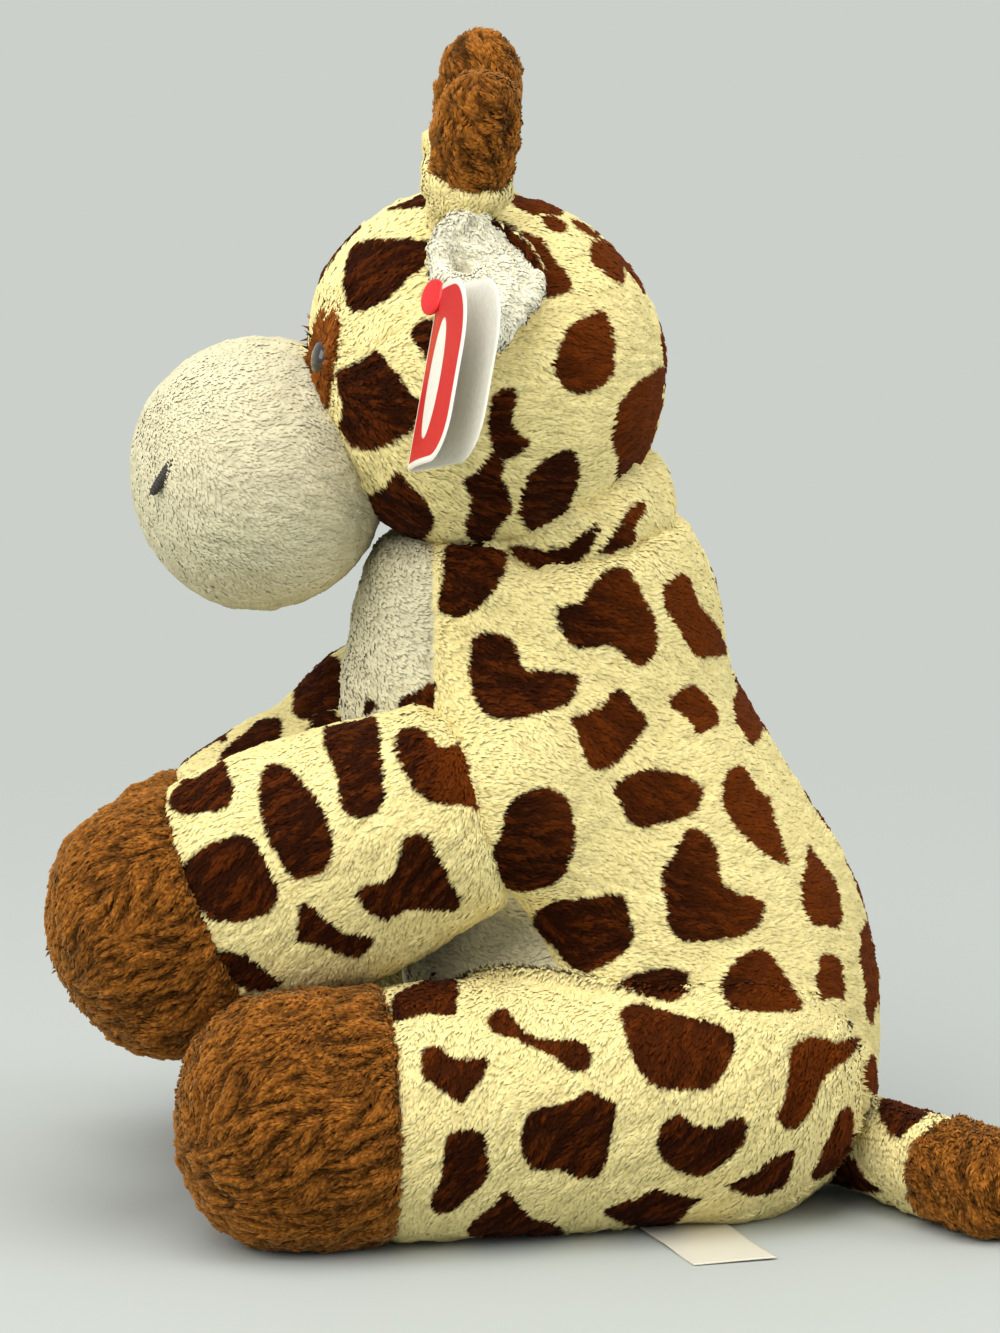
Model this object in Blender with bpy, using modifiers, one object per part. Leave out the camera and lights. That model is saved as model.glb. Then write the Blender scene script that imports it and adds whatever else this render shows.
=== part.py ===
"""Seated stuffed toy giraffe: sewn plush covers with their filling, safety eyes, folded swing tag and sewn-in label.

Units are metres, +Z is up, the toy faces -Y and its left side is +X. The origin is the middle of the flat seat.
"""

import math

import bmesh
import bpy
from mathutils import Matrix, Vector

MM = 0.001

# Cloth and clearances
COVER_WALL = 2.0 * MM
SEAM_GAP = 0.3 * MM
SWING_GAP = 0.7 * MM
FLAT_DEPTH = 0.5 * MM
FILLING_INSET = COVER_WALL + 3 * SEAM_GAP
WELD = 0.001 * MM
MERGE = 0.02 * MM
OVERRUN = 20.0 * MM

# Facets: around the torso, the head, the muzzle, a leg, the tail, the room for a limb and a small turned piece
TORSO_SIDES = 24
HEAD_SIDES = 24
HEAD_RINGS = 13
MUZZLE_SIDES = 20
MUZZLE_RINGS = 11
FILLING_SIDES = 16
FILLING_RINGS = 9
LEG_SIDES = 16
TAIL_SIDES = 12
ROOM_SIDES = 12
ROOM_PHASE_SHARE = 0.25
SMALL_SIDES = 14
THREAD_SIDES = 10
PATCH_SIDES = 40
PATCH_RINGS = 26
ROOT_STEPS = 4
DOME_STEPS = 5
CORNER_STEPS = 5

# Torso
TORSO_HEIGHT = 150.0 * MM
TORSO_CHEST = 68.5 * MM
TORSO_BACK = 43.3 * MM
TORSO_HALF_WIDTH = 49.0 * MM
NECK_SEAM_DROP = 22.0 * MM
NECK_TOP_DROP = 5.0 * MM
NECK_SEAM_HEIGHT = TORSO_HEIGHT - NECK_SEAM_DROP
NECK_TOP_HEIGHT = TORSO_HEIGHT - NECK_TOP_DROP
BAG_CENTRE = Vector((0.0, 14.0 * MM, 18.0 * MM))
BAG_SEMI_AXES = Vector((23.0 * MM, 19.0 * MM, 13.0 * MM))

# Head and muzzle
HEAD_FORWARD = 39.0 * MM
HEAD_LIFT = 22.5 * MM
HEAD_CENTRE = Vector((0.0, -HEAD_FORWARD, TORSO_HEIGHT + HEAD_LIFT))
HEAD_SEMI_AXES = Vector((41.0 * MM, 37.2 * MM, 37.2 * MM))
MUZZLE_FORWARD = 47.0 * MM
MUZZLE_DROP = 20.8 * MM
MUZZLE_CENTRE = HEAD_CENTRE - Vector((0.0, MUZZLE_FORWARD, MUZZLE_DROP))
MUZZLE_SEMI_AXES = Vector((35.0 * MM, 26.8 * MM, 28.0 * MM))
NOSTRIL_LENGTH = 9.0 * MM
NOSTRIL_RADIUS = 0.9 * MM
NOSTRIL_HALF_SPAN = 24.0 * MM
NOSTRIL_RISE = 3.5 * MM
NOSTRIL_TILT = math.radians(32.0)

# Eyes
EYE_RADIUS = 4.3 * MM
EYE_DOME = 2.3 * MM
EYE_FLANGE = 0.5 * MM
EYE_STALK_RADIUS = 1.6 * MM
EYE_STALK_LENGTH = 8.0 * MM
EYE_HALF_SPAN = 16.0 * MM
EYE_RISE = 6.2 * MM
WASHER_RADIUS = 5.5 * MM
WASHER_THICKNESS = 1.2 * MM
PATCH_HALF_WIDTH = 7.5 * MM
PATCH_HALF_HEIGHT = 10.5 * MM
PATCH_THICKNESS = 0.9 * MM

# Horns
HORN_HALF_SPAN = 16.0 * MM
HORN_FORWARD = 5.5 * MM
HORN_LENGTH = 37.5 * MM
HORN_ROOT_RADIUS = 6.8 * MM
HORN_RADIUS = 8.8 * MM
HORN_SEAM = 14.5 * MM
HORN_SPLAY_LEFT = math.radians(22.0)
HORN_SPLAY_RIGHT = math.radians(6.0)
HORN_LEAN = math.radians(10.0)

# Ears
EAR_LENGTH = 30.0 * MM
EAR_HALF_WIDTH = 11.5 * MM
EAR_THICKNESS = 2.4 * MM
EAR_LINING_THICKNESS = 1.4 * MM
EAR_HEM = 1.6 * MM
EAR_AROUND = math.radians(39.0)
EAR_FORWARD = math.radians(12.0)
EAR_STAND_OFF = math.radians(-3.0)
EAR_SWEEP = math.radians(28.0)
EAR_ROLL = math.radians(-14.0)

# Front legs
FRONT_PIVOT = Vector((33.5 * MM, -42.0 * MM, 88.6 * MM))
FRONT_SPREAD = math.radians(-3.0)
FRONT_DROOP_LEFT = math.radians(23.5)
FRONT_DROOP_RIGHT = math.radians(31.0)
FRONT_SEAM = 57.0 * MM
FRONT_HOOF_LENGTH = 35.5 * MM
FRONT_RADIUS = 26.0 * MM
FRONT_RAISE = math.radians(22.0)

# Rear legs
REAR_SPREAD = math.radians(15.5)
REAR_SEAM = 57.0 * MM
REAR_HOOF_LENGTH = 43.0 * MM
REAR_RADIUS = 26.7 * MM
REAR_PIVOT = Vector((36.0 * MM, -5.0 * MM, REAR_RADIUS - FLAT_DEPTH))
REAR_SPLAY = math.radians(20.0)
LEG_OPENING_RADIUS = 12.0 * MM

# Tail
TAIL_YAW = math.radians(57.0)
TAIL_SEAM = 38.5 * MM
TAIL_TIP_LENGTH = 29.5 * MM
TAIL_RADIUS = 11.1 * MM
TAIL_PIVOT = Vector((2.0 * MM, 36.0 * MM, TAIL_RADIUS - FLAT_DEPTH))
TAIL_SWING_IN = math.radians(12.0)
TAIL_SWING_OUT = math.radians(60.0)
TAIL_OPENING_RADIUS = 5.0 * MM

# Swing tag, its pin and the sewn-in label
TAG_HEIGHT = 40.0 * MM
TAG_WIDTH = 34.0 * MM
TAG_THICKNESS = 0.5 * MM
TAG_TOP_CORNER = 15.0 * MM
TAG_LOW_CORNER = 10.0 * MM
TAG_HOLE_RADIUS = 1.5 * MM
TAG_HOLE_DROP = 4.5 * MM
TAG_FOLD_INSET = 4.5 * MM
TAG_LEAF_ANGLE = math.radians(9.0)
TAG_LEAN = math.radians(14.0)
TAG_ALONG_PIN_SHARE = 0.62
PIN_RADIUS = 0.6 * MM
PIN_HEAD_RADIUS = 3.8 * MM
PIN_HEAD_THICKNESS = 0.8 * MM
PIN_LENGTH = 9.5 * MM
PIN_YAW = math.radians(17.0)
PIN_ALONG_EAR = 17.0 * MM
PIN_ACROSS_EAR = 7.5 * MM
LABEL_LENGTH = 35.0 * MM
LABEL_WIDTH = 18.0 * MM
LABEL_THICKNESS = 0.6 * MM
LABEL_LIFT = 0.1 * MM
LABEL_ROOT = Vector((39.0 * MM, 2.5 * MM, 0.0))
LABEL_YAW = math.radians(18.0)

# Torso rings from the seat up, as shares of its height, chest reach, back reach and half width
TORSO_SHARES = (
    (0.000, 0.432, 0.614, 0.62),
    (0.010, 0.547, 0.716, 0.76),
    (0.040, 0.662, 0.841, 0.87),
    (0.093, 0.741, 0.943, 0.95),
    (0.193, 0.791, 1.000, 1.00),
    (0.320, 0.820, 0.977, 0.97),
    (0.447, 0.878, 0.852, 0.90),
    (0.590, 0.964, 0.561, 0.82),
    (0.703, 1.000, 0.332, 0.76),
    (0.800, 0.964, 0.193, 0.70),
    (0.887, 0.901, 0.107, 0.65),
    (1.000, 0.791, -0.045, 0.58),
)
# Edge of the pale belly panel, as shares of chest reach (forward) and torso height
BELLY_EDGE_SHARES = (
    (0.73, 1.05),
    (0.74, 0.72),
    (0.66, 0.60),
    (0.44, 0.42),
    (0.28, 0.31),
    (0.22, 0.15),
    (0.40, 0.08),
    (0.50, -0.10),
)
# Hoof and tail tip outlines from the tip down to the seam, as shares of their length past it and of the radius
FRONT_HOOF_SHARES = ((1.0, 0.0), (0.961, 0.36), (0.817, 0.72), (0.609, 0.96), (0.349, 1.055), (0.14, 1.035))
REAR_HOOF_SHARES = ((1.0, 0.0), (0.976, 0.32), (0.872, 0.68), (0.674, 0.93), (0.419, 1.01), (0.163, 1.0))
TAIL_TIP_SHARES = ((1.0, 0.0), (0.95, 0.38), (0.82, 0.75), (0.62, 0.98), (0.32, 1.0))
# Sleeve outlines from the seam down to the root, as shares of the seam's place and of the radius
FRONT_SLEEVE_SHARES = ((0.876, 1.03), (0.649, 1.04), (0.406, 0.99), (0.195, 0.88))
FRONT_ROOT_SHARE = 0.80
REAR_SLEEVE_SHARES = ((0.737, 0.985), (0.438, 0.99), (0.193, 0.98))
REAR_ROOT_SHARE = 0.97
SEAM_PINCH_SHARE = 0.97
HEAD_OPENING_SHARE = 0.09
MUZZLE_OPENING_SHARE = 0.12
TAIL_SLEEVE_SHARES = ((0.76, 0.92), (0.40, 0.88))
TAIL_ROOT_SHARE = 0.85
# Horn outline above its seam, as shares of length and radius
HORN_TIP_SHARES = ((1.0, 0.0), (0.985, 0.42), (0.92, 0.78), (0.78, 1.0), (0.58, 1.06))
# Horn outline below its seam, as shares of seam height and radius
HORN_STEM_SHARES = ((1.0, 1.0), (0.6, 0.96))
HORN_ROOT_SHARE = 0.1
# Nostril stitch outline on one half, as shares of half length and radius
NOSTRIL_SHARES = ((1.0, 0.0), (0.9, 0.6), (0.5, 1.0))
# Ear outline on one side, as shares of its length and half width
EAR_SHARES = ((0.0, 0.52), (0.18, 0.86), (0.42, 1.0), (0.68, 0.86), (0.88, 0.50), (1.0, 0.0))

CREAM = (0.86, 0.79, 0.50)
HOOF_BROWN = (0.26, 0.115, 0.05)
PALE = (0.83, 0.81, 0.71)
FILLING = (0.92, 0.92, 0.90)


def material(name, colour, roughness=0.95, metallic=0.0):
    """One Principled material."""
    made = bpy.data.materials.new(name)
    made.use_nodes = True
    shader = made.node_tree.nodes["Principled BSDF"]
    shader.inputs["Base Color"].default_value = (*colour, 1.0)
    shader.inputs["Roughness"].default_value = roughness
    shader.inputs["Metallic"].default_value = metallic
    return made


def place(name, mesh, finish, parent=None, matrix=None, helper=False):
    """An object for this mesh, among the parts or, for a helper, among the cutters."""
    made = bpy.data.objects.new(name, mesh)
    (cutters if helper else parts).objects.link(made)
    if finish is not None:
        mesh.materials.append(finish)
    if parent is not None:
        made.parent = parent
    if matrix is not None:
        made.matrix_local = matrix
    if helper:
        made.hide_render = True
        made.display_type = "WIRE"
    return made


def pivot(name, matrix):
    """An empty on a joint's axis, which carries the pieces of one moving body."""
    made = bpy.data.objects.new(name, None)
    parts.objects.link(made)
    made.matrix_world = matrix
    return made


def boolean(target, tool, operation="DIFFERENCE"):
    """One exact Boolean on this object."""
    made = target.modifiers.new(operation.lower() + "_" + tool.name, "BOOLEAN")
    made.operation = operation
    made.object = tool
    made.solver = "EXACT"


def turned(name, profile, finish, sides, parent=None, matrix=None, closed=False, helper=False):
    """A profile of (radius, height) points, outer side first and from the top down, turned about local Z."""
    mesh = bpy.data.meshes.new(name)
    points = [(radius, 0.0, height) for radius, height in profile]
    edges = [(i, i + 1) for i in range(len(points) - 1)]
    if closed:
        edges.append((len(points) - 1, 0))
    mesh.from_pydata(points, edges, [])
    made = place(name, mesh, finish, parent, matrix, helper)
    screw = made.modifiers.new("turn", "SCREW")
    screw.axis = "Z"
    screw.steps = sides
    screw.render_steps = sides
    screw.use_merge_vertices = True
    screw.merge_threshold = MERGE
    screw.use_smooth_shade = True
    return made


def ball(name, centre, semi_axes, finish, segments, rings, helper=False, pole_turn=None, opening=0.0):
    """An ellipsoid, or an open one whose faces within the opening's height of its lower pole are left out."""
    mesh = bpy.data.meshes.new(name)
    shape = bmesh.new()
    bmesh.ops.create_uvsphere(shape, u_segments=segments, v_segments=rings, radius=1.0)
    if opening:
        low = [vert for vert in shape.verts if vert.co.z < opening - 1.0]
        bmesh.ops.delete(shape, geom=low, context="VERTS")
    if pole_turn is not None:
        shape.transform(pole_turn)
    shape.transform(Matrix.Diagonal((*semi_axes, 1.0)))
    shape.transform(Matrix.Translation(centre))
    shape.to_mesh(mesh)
    shape.free()
    mesh.shade_smooth()
    return place(name, mesh, finish, helper=helper)


def solidify(target, thickness):
    """Gives an open surface its wall, inwards."""
    made = target.modifiers.new("wall", "SOLIDIFY")
    made.thickness = thickness
    made.offset = -1.0
    made.use_even_offset = True


def torso_rings():
    """The torso's rings as lists of points, from the seat up."""
    rings = []
    for high, chest, back, width in TORSO_SHARES:
        half_depth = (chest * TORSO_CHEST + back * TORSO_BACK) / 2
        middle = (back * TORSO_BACK - chest * TORSO_CHEST) / 2
        ring = []
        for i in range(TORSO_SIDES):
            turn = 2 * math.pi * (i + 0.5) / TORSO_SIDES
            across = width * TORSO_HALF_WIDTH * math.sin(turn)
            ring.append(Vector((across, middle - half_depth * math.cos(turn), high * TORSO_HEIGHT)))
        rings.append(ring)
    return rings


def lofted(name, rings, finish, capped_top, inset=0.0):
    """A loft through rings with equal counts, its foot capped, its top capped or open, and its skin drawn in."""
    mesh = bpy.data.meshes.new(name)
    shape = bmesh.new()
    loops = [[shape.verts.new(point) for point in ring] for ring in rings]
    for low, high in zip(loops, loops[1:]):
        for i in range(len(low)):
            j = (i + 1) % len(low)
            shape.faces.new((low[i], low[j], high[j], high[i]))
    shape.faces.new(list(reversed(loops[0])))
    if capped_top:
        shape.faces.new(loops[-1])
    bmesh.ops.recalc_face_normals(shape, faces=shape.faces)
    shape.normal_update()
    for vert in shape.verts:
        vert.co -= vert.normal * inset
    shape.to_mesh(mesh)
    shape.free()
    mesh.shade_smooth()
    mesh.set_sharp_from_angle(angle=math.radians(60.0))
    return place(name, mesh, finish)


def block(name, low, high):
    """A box between two corners, as a cutter."""
    mesh = bpy.data.meshes.new(name)
    shape = bmesh.new()
    bmesh.ops.create_cube(shape, size=1.0)
    shape.transform(Matrix.Diagonal((*(high - low), 1.0)))
    shape.transform(Matrix.Translation((high + low) / 2))
    shape.to_mesh(mesh)
    shape.free()
    return place(name, mesh, None, helper=True)


def leaf(name, outline, thickness, finish, parent=None, matrix=None, holes=(), helper=False):
    """A flat outline of (across, along) points with this thickness about its plane."""
    curve = bpy.data.curves.new(name, "CURVE")
    curve.dimensions = "2D"
    curve.fill_mode = "BOTH"
    curve.extrude = thickness / 2
    for loop in (outline, *holes):
        spline = curve.splines.new("POLY")
        spline.points.add(len(loop) - 1)
        for point, (across, along) in zip(spline.points, loop):
            point.co = (across, along, 0.0, 1.0)
        spline.use_cyclic_u = True
    flat = bpy.data.objects.new(name, curve)
    cutters.objects.link(flat)
    graph = bpy.context.evaluated_depsgraph_get()
    mesh = bpy.data.meshes.new_from_object(flat.evaluated_get(graph))
    bpy.data.objects.remove(flat)
    bpy.data.curves.remove(curve)
    mesh.name = name
    shape = bmesh.new()
    shape.from_mesh(mesh)
    bmesh.ops.remove_doubles(shape, verts=shape.verts, dist=WELD)
    bmesh.ops.recalc_face_normals(shape, faces=shape.faces)
    shape.to_mesh(mesh)
    shape.free()
    mesh.materials.clear()
    return place(name, mesh, finish, parent, matrix, helper)


def circle(radius, count, across=0.0, along=0.0):
    """Points of a circle as an outline."""
    turns = [2 * math.pi * i / count for i in range(count)]
    return [(across + radius * math.cos(turn), along + radius * math.sin(turn)) for turn in turns]


def swept_hull(name, outline, frames):
    """The convex hull of a turned outline in several places, as the clearance of a limb that moves between them."""
    mesh = bpy.data.meshes.new(name)
    shape = bmesh.new()
    for frame in frames:
        for radius, height in outline:
            for i in range(ROOM_SIDES):
                turn = 2 * math.pi * (i + ROOM_PHASE_SHARE) / ROOM_SIDES
                reach = (radius + SWING_GAP) / math.cos(math.pi / ROOM_SIDES)
                spot = Vector((reach * math.cos(turn), reach * math.sin(turn), height))
                shape.verts.new(frame @ spot)
    bmesh.ops.remove_doubles(shape, verts=shape.verts, dist=SEAM_GAP / 10)
    hull = bmesh.ops.convex_hull(shape, input=shape.verts)
    spare = {item for key in ("geom_interior", "geom_unused") for item in hull[key]}
    spare = [item for item in spare if isinstance(item, bmesh.types.BMVert)]
    bmesh.ops.delete(shape, geom=spare, context="VERTS")
    bmesh.ops.recalc_face_normals(shape, faces=shape.faces)
    shape.to_mesh(mesh)
    shape.free()
    return place(name, mesh, None, helper=True)


def aimed(origin, forward, across):
    """A frame at this place with local Z along forward and local X as near across as it can be."""
    z_axis = forward.normalized()
    x_axis = (across - across.dot(z_axis) * z_axis).normalized()
    y_axis = z_axis.cross(x_axis)
    turn = Matrix((x_axis, y_axis, z_axis)).transposed().to_4x4()
    return Matrix.Translation(origin) @ turn


def turned_about(centre, angle, axis):
    """A turn about an axis through this centre."""
    return Matrix.Translation(centre) @ Matrix.Rotation(angle, 4, axis) @ Matrix.Translation(-centre)


def root_arc(radius, opening):
    """The rounded root of a limb about its pivot, from its widest ring down to its opening, as (radius, height)."""
    last = math.acos(opening / radius)
    turns = [last * i / ROOT_STEPS for i in range(ROOT_STEPS + 1)]
    return [(radius * math.cos(turn), -radius * math.sin(turn)) for turn in turns]


def limb(name, frame, sizes, tip_name, sides):
    """One limb about its pivot: a sleeve open at its root and its seam, a cup over its tip, and its filling."""
    seam, tip_length, radius, tip_shares, sleeve_shares, root_share, opening = sizes
    length = seam + tip_length
    wall = COVER_WALL
    pinch = SEAM_PINCH_SHARE * radius
    tip = [(share * radius, seam + high * tip_length) for high, share in tip_shares]
    sleeve = [(share * radius, high * seam) for high, share in sleeve_shares]
    root = root_arc(root_share * radius, opening)
    tip_rim = (pinch, seam + SEAM_GAP / 2)
    sleeve_rim = (pinch, seam - SEAM_GAP / 2)
    lowered = wall / tip_length
    tip_inside = [(max(reach - wall, 0.0), high - lowered * (high - seam)) for reach, high in tip[1:]]
    tip_inside = [(0.0, length - wall)] + tip_inside
    tip_profile = tip + [tip_rim, (pinch - wall, seam + SEAM_GAP / 2)] + tip_inside[::-1]
    outer = [sleeve_rim] + sleeve + root
    inner = [(reach - wall, high) for reach, high in outer]
    carrier = pivot(name + "_pivot", frame)
    inset = wall + SEAM_GAP
    body = [(reach - inset, high) for reach, high in [(pinch, seam)] + sleeve + root]
    cap = [(max(reach - SEAM_GAP, 0.0), high - SEAM_GAP) for reach, high in tip_inside]
    filling = cap + body + [(0.0, root[-1][1])]
    pieces = (
        turned(tip_name, tip_profile, brown_finish, sides, carrier),
        turned(name + "_sleeve", outer + inner[::-1], spotted_finish, sides, carrier, closed=True),
        turned(name + "_stuffing", filling, filling_finish, sides // 2, carrier),
    )
    outline = [(reach, high) for reach, high in sleeve + root] + [(0.0, -root_share * radius)]
    return pieces, outline


# Start from an empty scene
for old in list(bpy.data.objects):
    bpy.data.objects.remove(old)
parts = bpy.data.collections.new("plush_giraffe")
cutters = bpy.data.collections.new("cutters")
bpy.context.scene.collection.children.link(parts)
bpy.context.scene.collection.children.link(cutters)

spotted_finish = material("spotted_plush", CREAM)
brown_finish = material("brown_plush", HOOF_BROWN)
pale_finish = material("pale_plush", PALE)
filling_finish = material("polyester_filling", FILLING)
floor_cutter = block(
    "floor_cutter",
    Vector((-4 * TORSO_HALF_WIDTH, -2 * TORSO_HEIGHT, -OVERRUN)),
    Vector((4 * TORSO_HALF_WIDTH, 2 * TORSO_HEIGHT, 0.0)),
)

# Front legs, sewn to the sides of the chest
clearances = []
front_pieces = {}
for side, word, droop in ((1, "left", FRONT_DROOP_LEFT), (-1, "right", FRONT_DROOP_RIGHT)):
    root = Vector((side * FRONT_PIVOT.x, FRONT_PIVOT.y, FRONT_PIVOT.z))
    forward = Vector((side * math.sin(FRONT_SPREAD), -math.cos(FRONT_SPREAD) * math.cos(droop), -math.sin(droop)))
    frame = aimed(root, forward, Vector((1.0, 0.0, 0.0)))
    sizes = (
        FRONT_SEAM,
        FRONT_HOOF_LENGTH,
        FRONT_RADIUS,
        FRONT_HOOF_SHARES,
        FRONT_SLEEVE_SHARES,
        FRONT_ROOT_SHARE,
        LEG_OPENING_RADIUS,
    )
    name = "front_leg_" + word
    front_pieces[side], outline = limb(name, frame, sizes, name + "_hoof", LEG_SIDES)
    raised = turned_about(root, -FRONT_RAISE, "X") @ frame
    clearances.append(swept_hull("front_clearance_" + word, outline, (frame, raised)))

# Rear legs, stretched out along the ground
for side, word in ((1, "left"), (-1, "right")):
    root = Vector((side * REAR_PIVOT.x, REAR_PIVOT.y, REAR_PIVOT.z))
    forward = Vector((side * math.sin(REAR_SPREAD), -math.cos(REAR_SPREAD), 0.0))
    frame = aimed(root, forward, Vector((1.0, 0.0, 0.0)))
    sizes = (
        REAR_SEAM,
        REAR_HOOF_LENGTH,
        REAR_RADIUS,
        REAR_HOOF_SHARES,
        REAR_SLEEVE_SHARES,
        REAR_ROOT_SHARE,
        LEG_OPENING_RADIUS,
    )
    name = "rear_leg_" + word
    pieces, outline = limb(name, frame, sizes, name + "_hoof", LEG_SIDES)
    boolean(pieces[0], floor_cutter)
    boolean(pieces[1], floor_cutter)
    splayed = turned_about(root, side * REAR_SPLAY, "Z") @ frame
    clearances.append(swept_hull("rear_clearance_" + word, outline, (frame, splayed)))
    tip = [(share * REAR_RADIUS, REAR_SEAM + high * REAR_HOOF_LENGTH) for high, share in REAR_HOOF_SHARES]
    rest_room = swept_hull("rear_room_" + word, tip + outline, (frame,))
    for piece in front_pieces[side]:
        boolean(piece, rest_room)

# Tail, sewn into the back seam and lying on the ground
tail_forward = Vector((math.sin(TAIL_YAW), math.cos(TAIL_YAW), 0.0))
tail_frame = aimed(TAIL_PIVOT, tail_forward, Vector((0.0, 0.0, 1.0)))
tail_sizes = (
    TAIL_SEAM,
    TAIL_TIP_LENGTH,
    TAIL_RADIUS,
    TAIL_TIP_SHARES,
    TAIL_SLEEVE_SHARES,
    TAIL_ROOT_SHARE,
    TAIL_OPENING_RADIUS,
)
tail_pieces, tail_outline = limb("tail", tail_frame, tail_sizes, "tail_tip", TAIL_SIDES)
boolean(tail_pieces[0], floor_cutter)
boolean(tail_pieces[1], floor_cutter)
tail_turns = (-TAIL_SWING_IN, 0.0, TAIL_SWING_OUT / 2, TAIL_SWING_OUT)
tail_swings = [turned_about(TAIL_PIVOT, swing, "Z") @ tail_frame for swing in tail_turns]
clearances.append(swept_hull("tail_clearance", tail_outline, tail_swings))

# Torso cover and belly panel, one open-topped wall parted at the belly seam
belly_edge = [(-share * TORSO_CHEST, high * TORSO_HEIGHT) for share, high in BELLY_EDGE_SHARES]
front_edge = [(-2 * TORSO_CHEST, belly_edge[-1][1]), (-2 * TORSO_CHEST, belly_edge[0][1])]
upright = Matrix(((0, 0, 1, 0), (1, 0, 0, 0), (0, 1, 0, 0), (0, 0, 0, 1)))
behind_seam = leaf(
    "belly_cutter", belly_edge + front_edge, 4 * TORSO_HALF_WIDTH, None, matrix=upright, helper=True
)
panel_edge = [(forward - SEAM_GAP, high) for forward, high in belly_edge]
panel_room = leaf(
    "belly_keeper", panel_edge + front_edge, 4 * TORSO_HALF_WIDTH, None, matrix=upright, helper=True
)
above_neck = block(
    "above_neck",
    Vector((-2 * TORSO_HALF_WIDTH, -2 * TORSO_HEIGHT, NECK_SEAM_HEIGHT)),
    Vector((2 * TORSO_HALF_WIDTH, 2 * TORSO_HEIGHT, 2 * TORSO_HEIGHT)),
)
torso_cover = lofted("torso_cover", torso_rings(), spotted_finish, capped_top=False)
belly_panel = lofted("belly_panel", torso_rings(), pale_finish, capped_top=False)
for skin in (torso_cover, belly_panel):
    solidify(skin, COVER_WALL)
    for clearance in clearances:
        boolean(skin, clearance)
    boolean(skin, above_neck)
boolean(torso_cover, behind_seam)
boolean(belly_panel, panel_room, "INTERSECT")

# Filling of the torso, and the bag of pellets that weighs the seat
torso_stuffing = lofted("torso_stuffing", torso_rings(), filling_finish, capped_top=True, inset=FILLING_INSET)
bag_finish = material("pellet_bag_cloth", (0.85, 0.86, 0.88), 0.8)
pellet_bag = ball("pellet_bag", BAG_CENTRE, BAG_SEMI_AXES, bag_finish, FILLING_SIDES, FILLING_RINGS)
gap = Vector((SEAM_GAP, SEAM_GAP, SEAM_GAP))
bag_room = ball("bag_room", BAG_CENTRE, BAG_SEMI_AXES + 2 * gap, None, FILLING_SIDES, FILLING_RINGS, helper=True)
boolean(torso_stuffing, above_neck)
boolean(torso_stuffing, bag_room)
for clearance in clearances:
    boolean(torso_stuffing, clearance)
for clearance in clearances[2:]:
    boolean(pellet_bag, clearance)

# Head: a round cover with its neck opening below, and its filling
head_cover = ball(
    "head_cover", HEAD_CENTRE, HEAD_SEMI_AXES, spotted_finish, HEAD_SIDES, HEAD_RINGS, opening=HEAD_OPENING_SHARE
)
solidify(head_cover, COVER_WALL)
swing = Vector((SWING_GAP, SWING_GAP, SWING_GAP))
head_room = ball("head_room", HEAD_CENTRE, HEAD_SEMI_AXES + swing, None, HEAD_SIDES, HEAD_RINGS, helper=True)
inset = Vector((FILLING_INSET, FILLING_INSET, FILLING_INSET))
head_stuffing = ball(
    "head_stuffing", HEAD_CENTRE, HEAD_SEMI_AXES - inset, filling_finish, FILLING_SIDES, FILLING_RINGS
)

# Muzzle: a pale cup sewn on the front of the head, with its own filling
muzzle_pole = Matrix.Rotation(math.radians(90.0), 4, "X")
muzzle_cover = ball(
    "muzzle_cover",
    MUZZLE_CENTRE,
    MUZZLE_SEMI_AXES,
    pale_finish,
    MUZZLE_SIDES,
    MUZZLE_RINGS,
    pole_turn=muzzle_pole,
    opening=MUZZLE_OPENING_SHARE,
)
solidify(muzzle_cover, COVER_WALL)
head_seat = ball("head_seat", HEAD_CENTRE, HEAD_SEMI_AXES + gap, None, HEAD_SIDES, HEAD_RINGS, helper=True)
boolean(muzzle_cover, head_seat)
muzzle_stuffing = ball(
    "muzzle_stuffing",
    MUZZLE_CENTRE,
    MUZZLE_SEMI_AXES - inset,
    filling_finish,
    FILLING_SIDES,
    FILLING_RINGS,
    pole_turn=muzzle_pole,
)
boolean(muzzle_stuffing, head_seat)

# Neck: the short gathered roll between the torso's seam and the head
neck_roll = lofted("neck_roll", torso_rings(), spotted_finish, capped_top=True)
neck_slab = block(
    "neck_slab",
    Vector((-2 * TORSO_HALF_WIDTH, -2 * TORSO_HEIGHT, NECK_SEAM_HEIGHT + SWING_GAP)),
    Vector((2 * TORSO_HALF_WIDTH, 2 * TORSO_HEIGHT, NECK_TOP_HEIGHT)),
)
muzzle_room = ball(
    "muzzle_room",
    MUZZLE_CENTRE,
    MUZZLE_SEMI_AXES + swing,
    None,
    MUZZLE_SIDES,
    MUZZLE_RINGS,
    helper=True,
    pole_turn=muzzle_pole,
)
boolean(neck_roll, neck_slab, "INTERSECT")
boolean(neck_roll, head_room)
boolean(neck_roll, muzzle_room)


def head_normal(point):
    """The outward direction of the head's surface at a point on it."""
    away = point - HEAD_CENTRE
    return Vector([away[i] / HEAD_SEMI_AXES[i] ** 2 for i in range(3)]).normalized()


def on_front(centre, semi_axes, across, rise):
    """The point of an ellipsoid's front, this far across and above its centre."""
    left = 1.0 - (across / semi_axes.x) ** 2 - (rise / semi_axes.z) ** 2
    return centre + Vector((across, -semi_axes.y * math.sqrt(left), rise))


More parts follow.
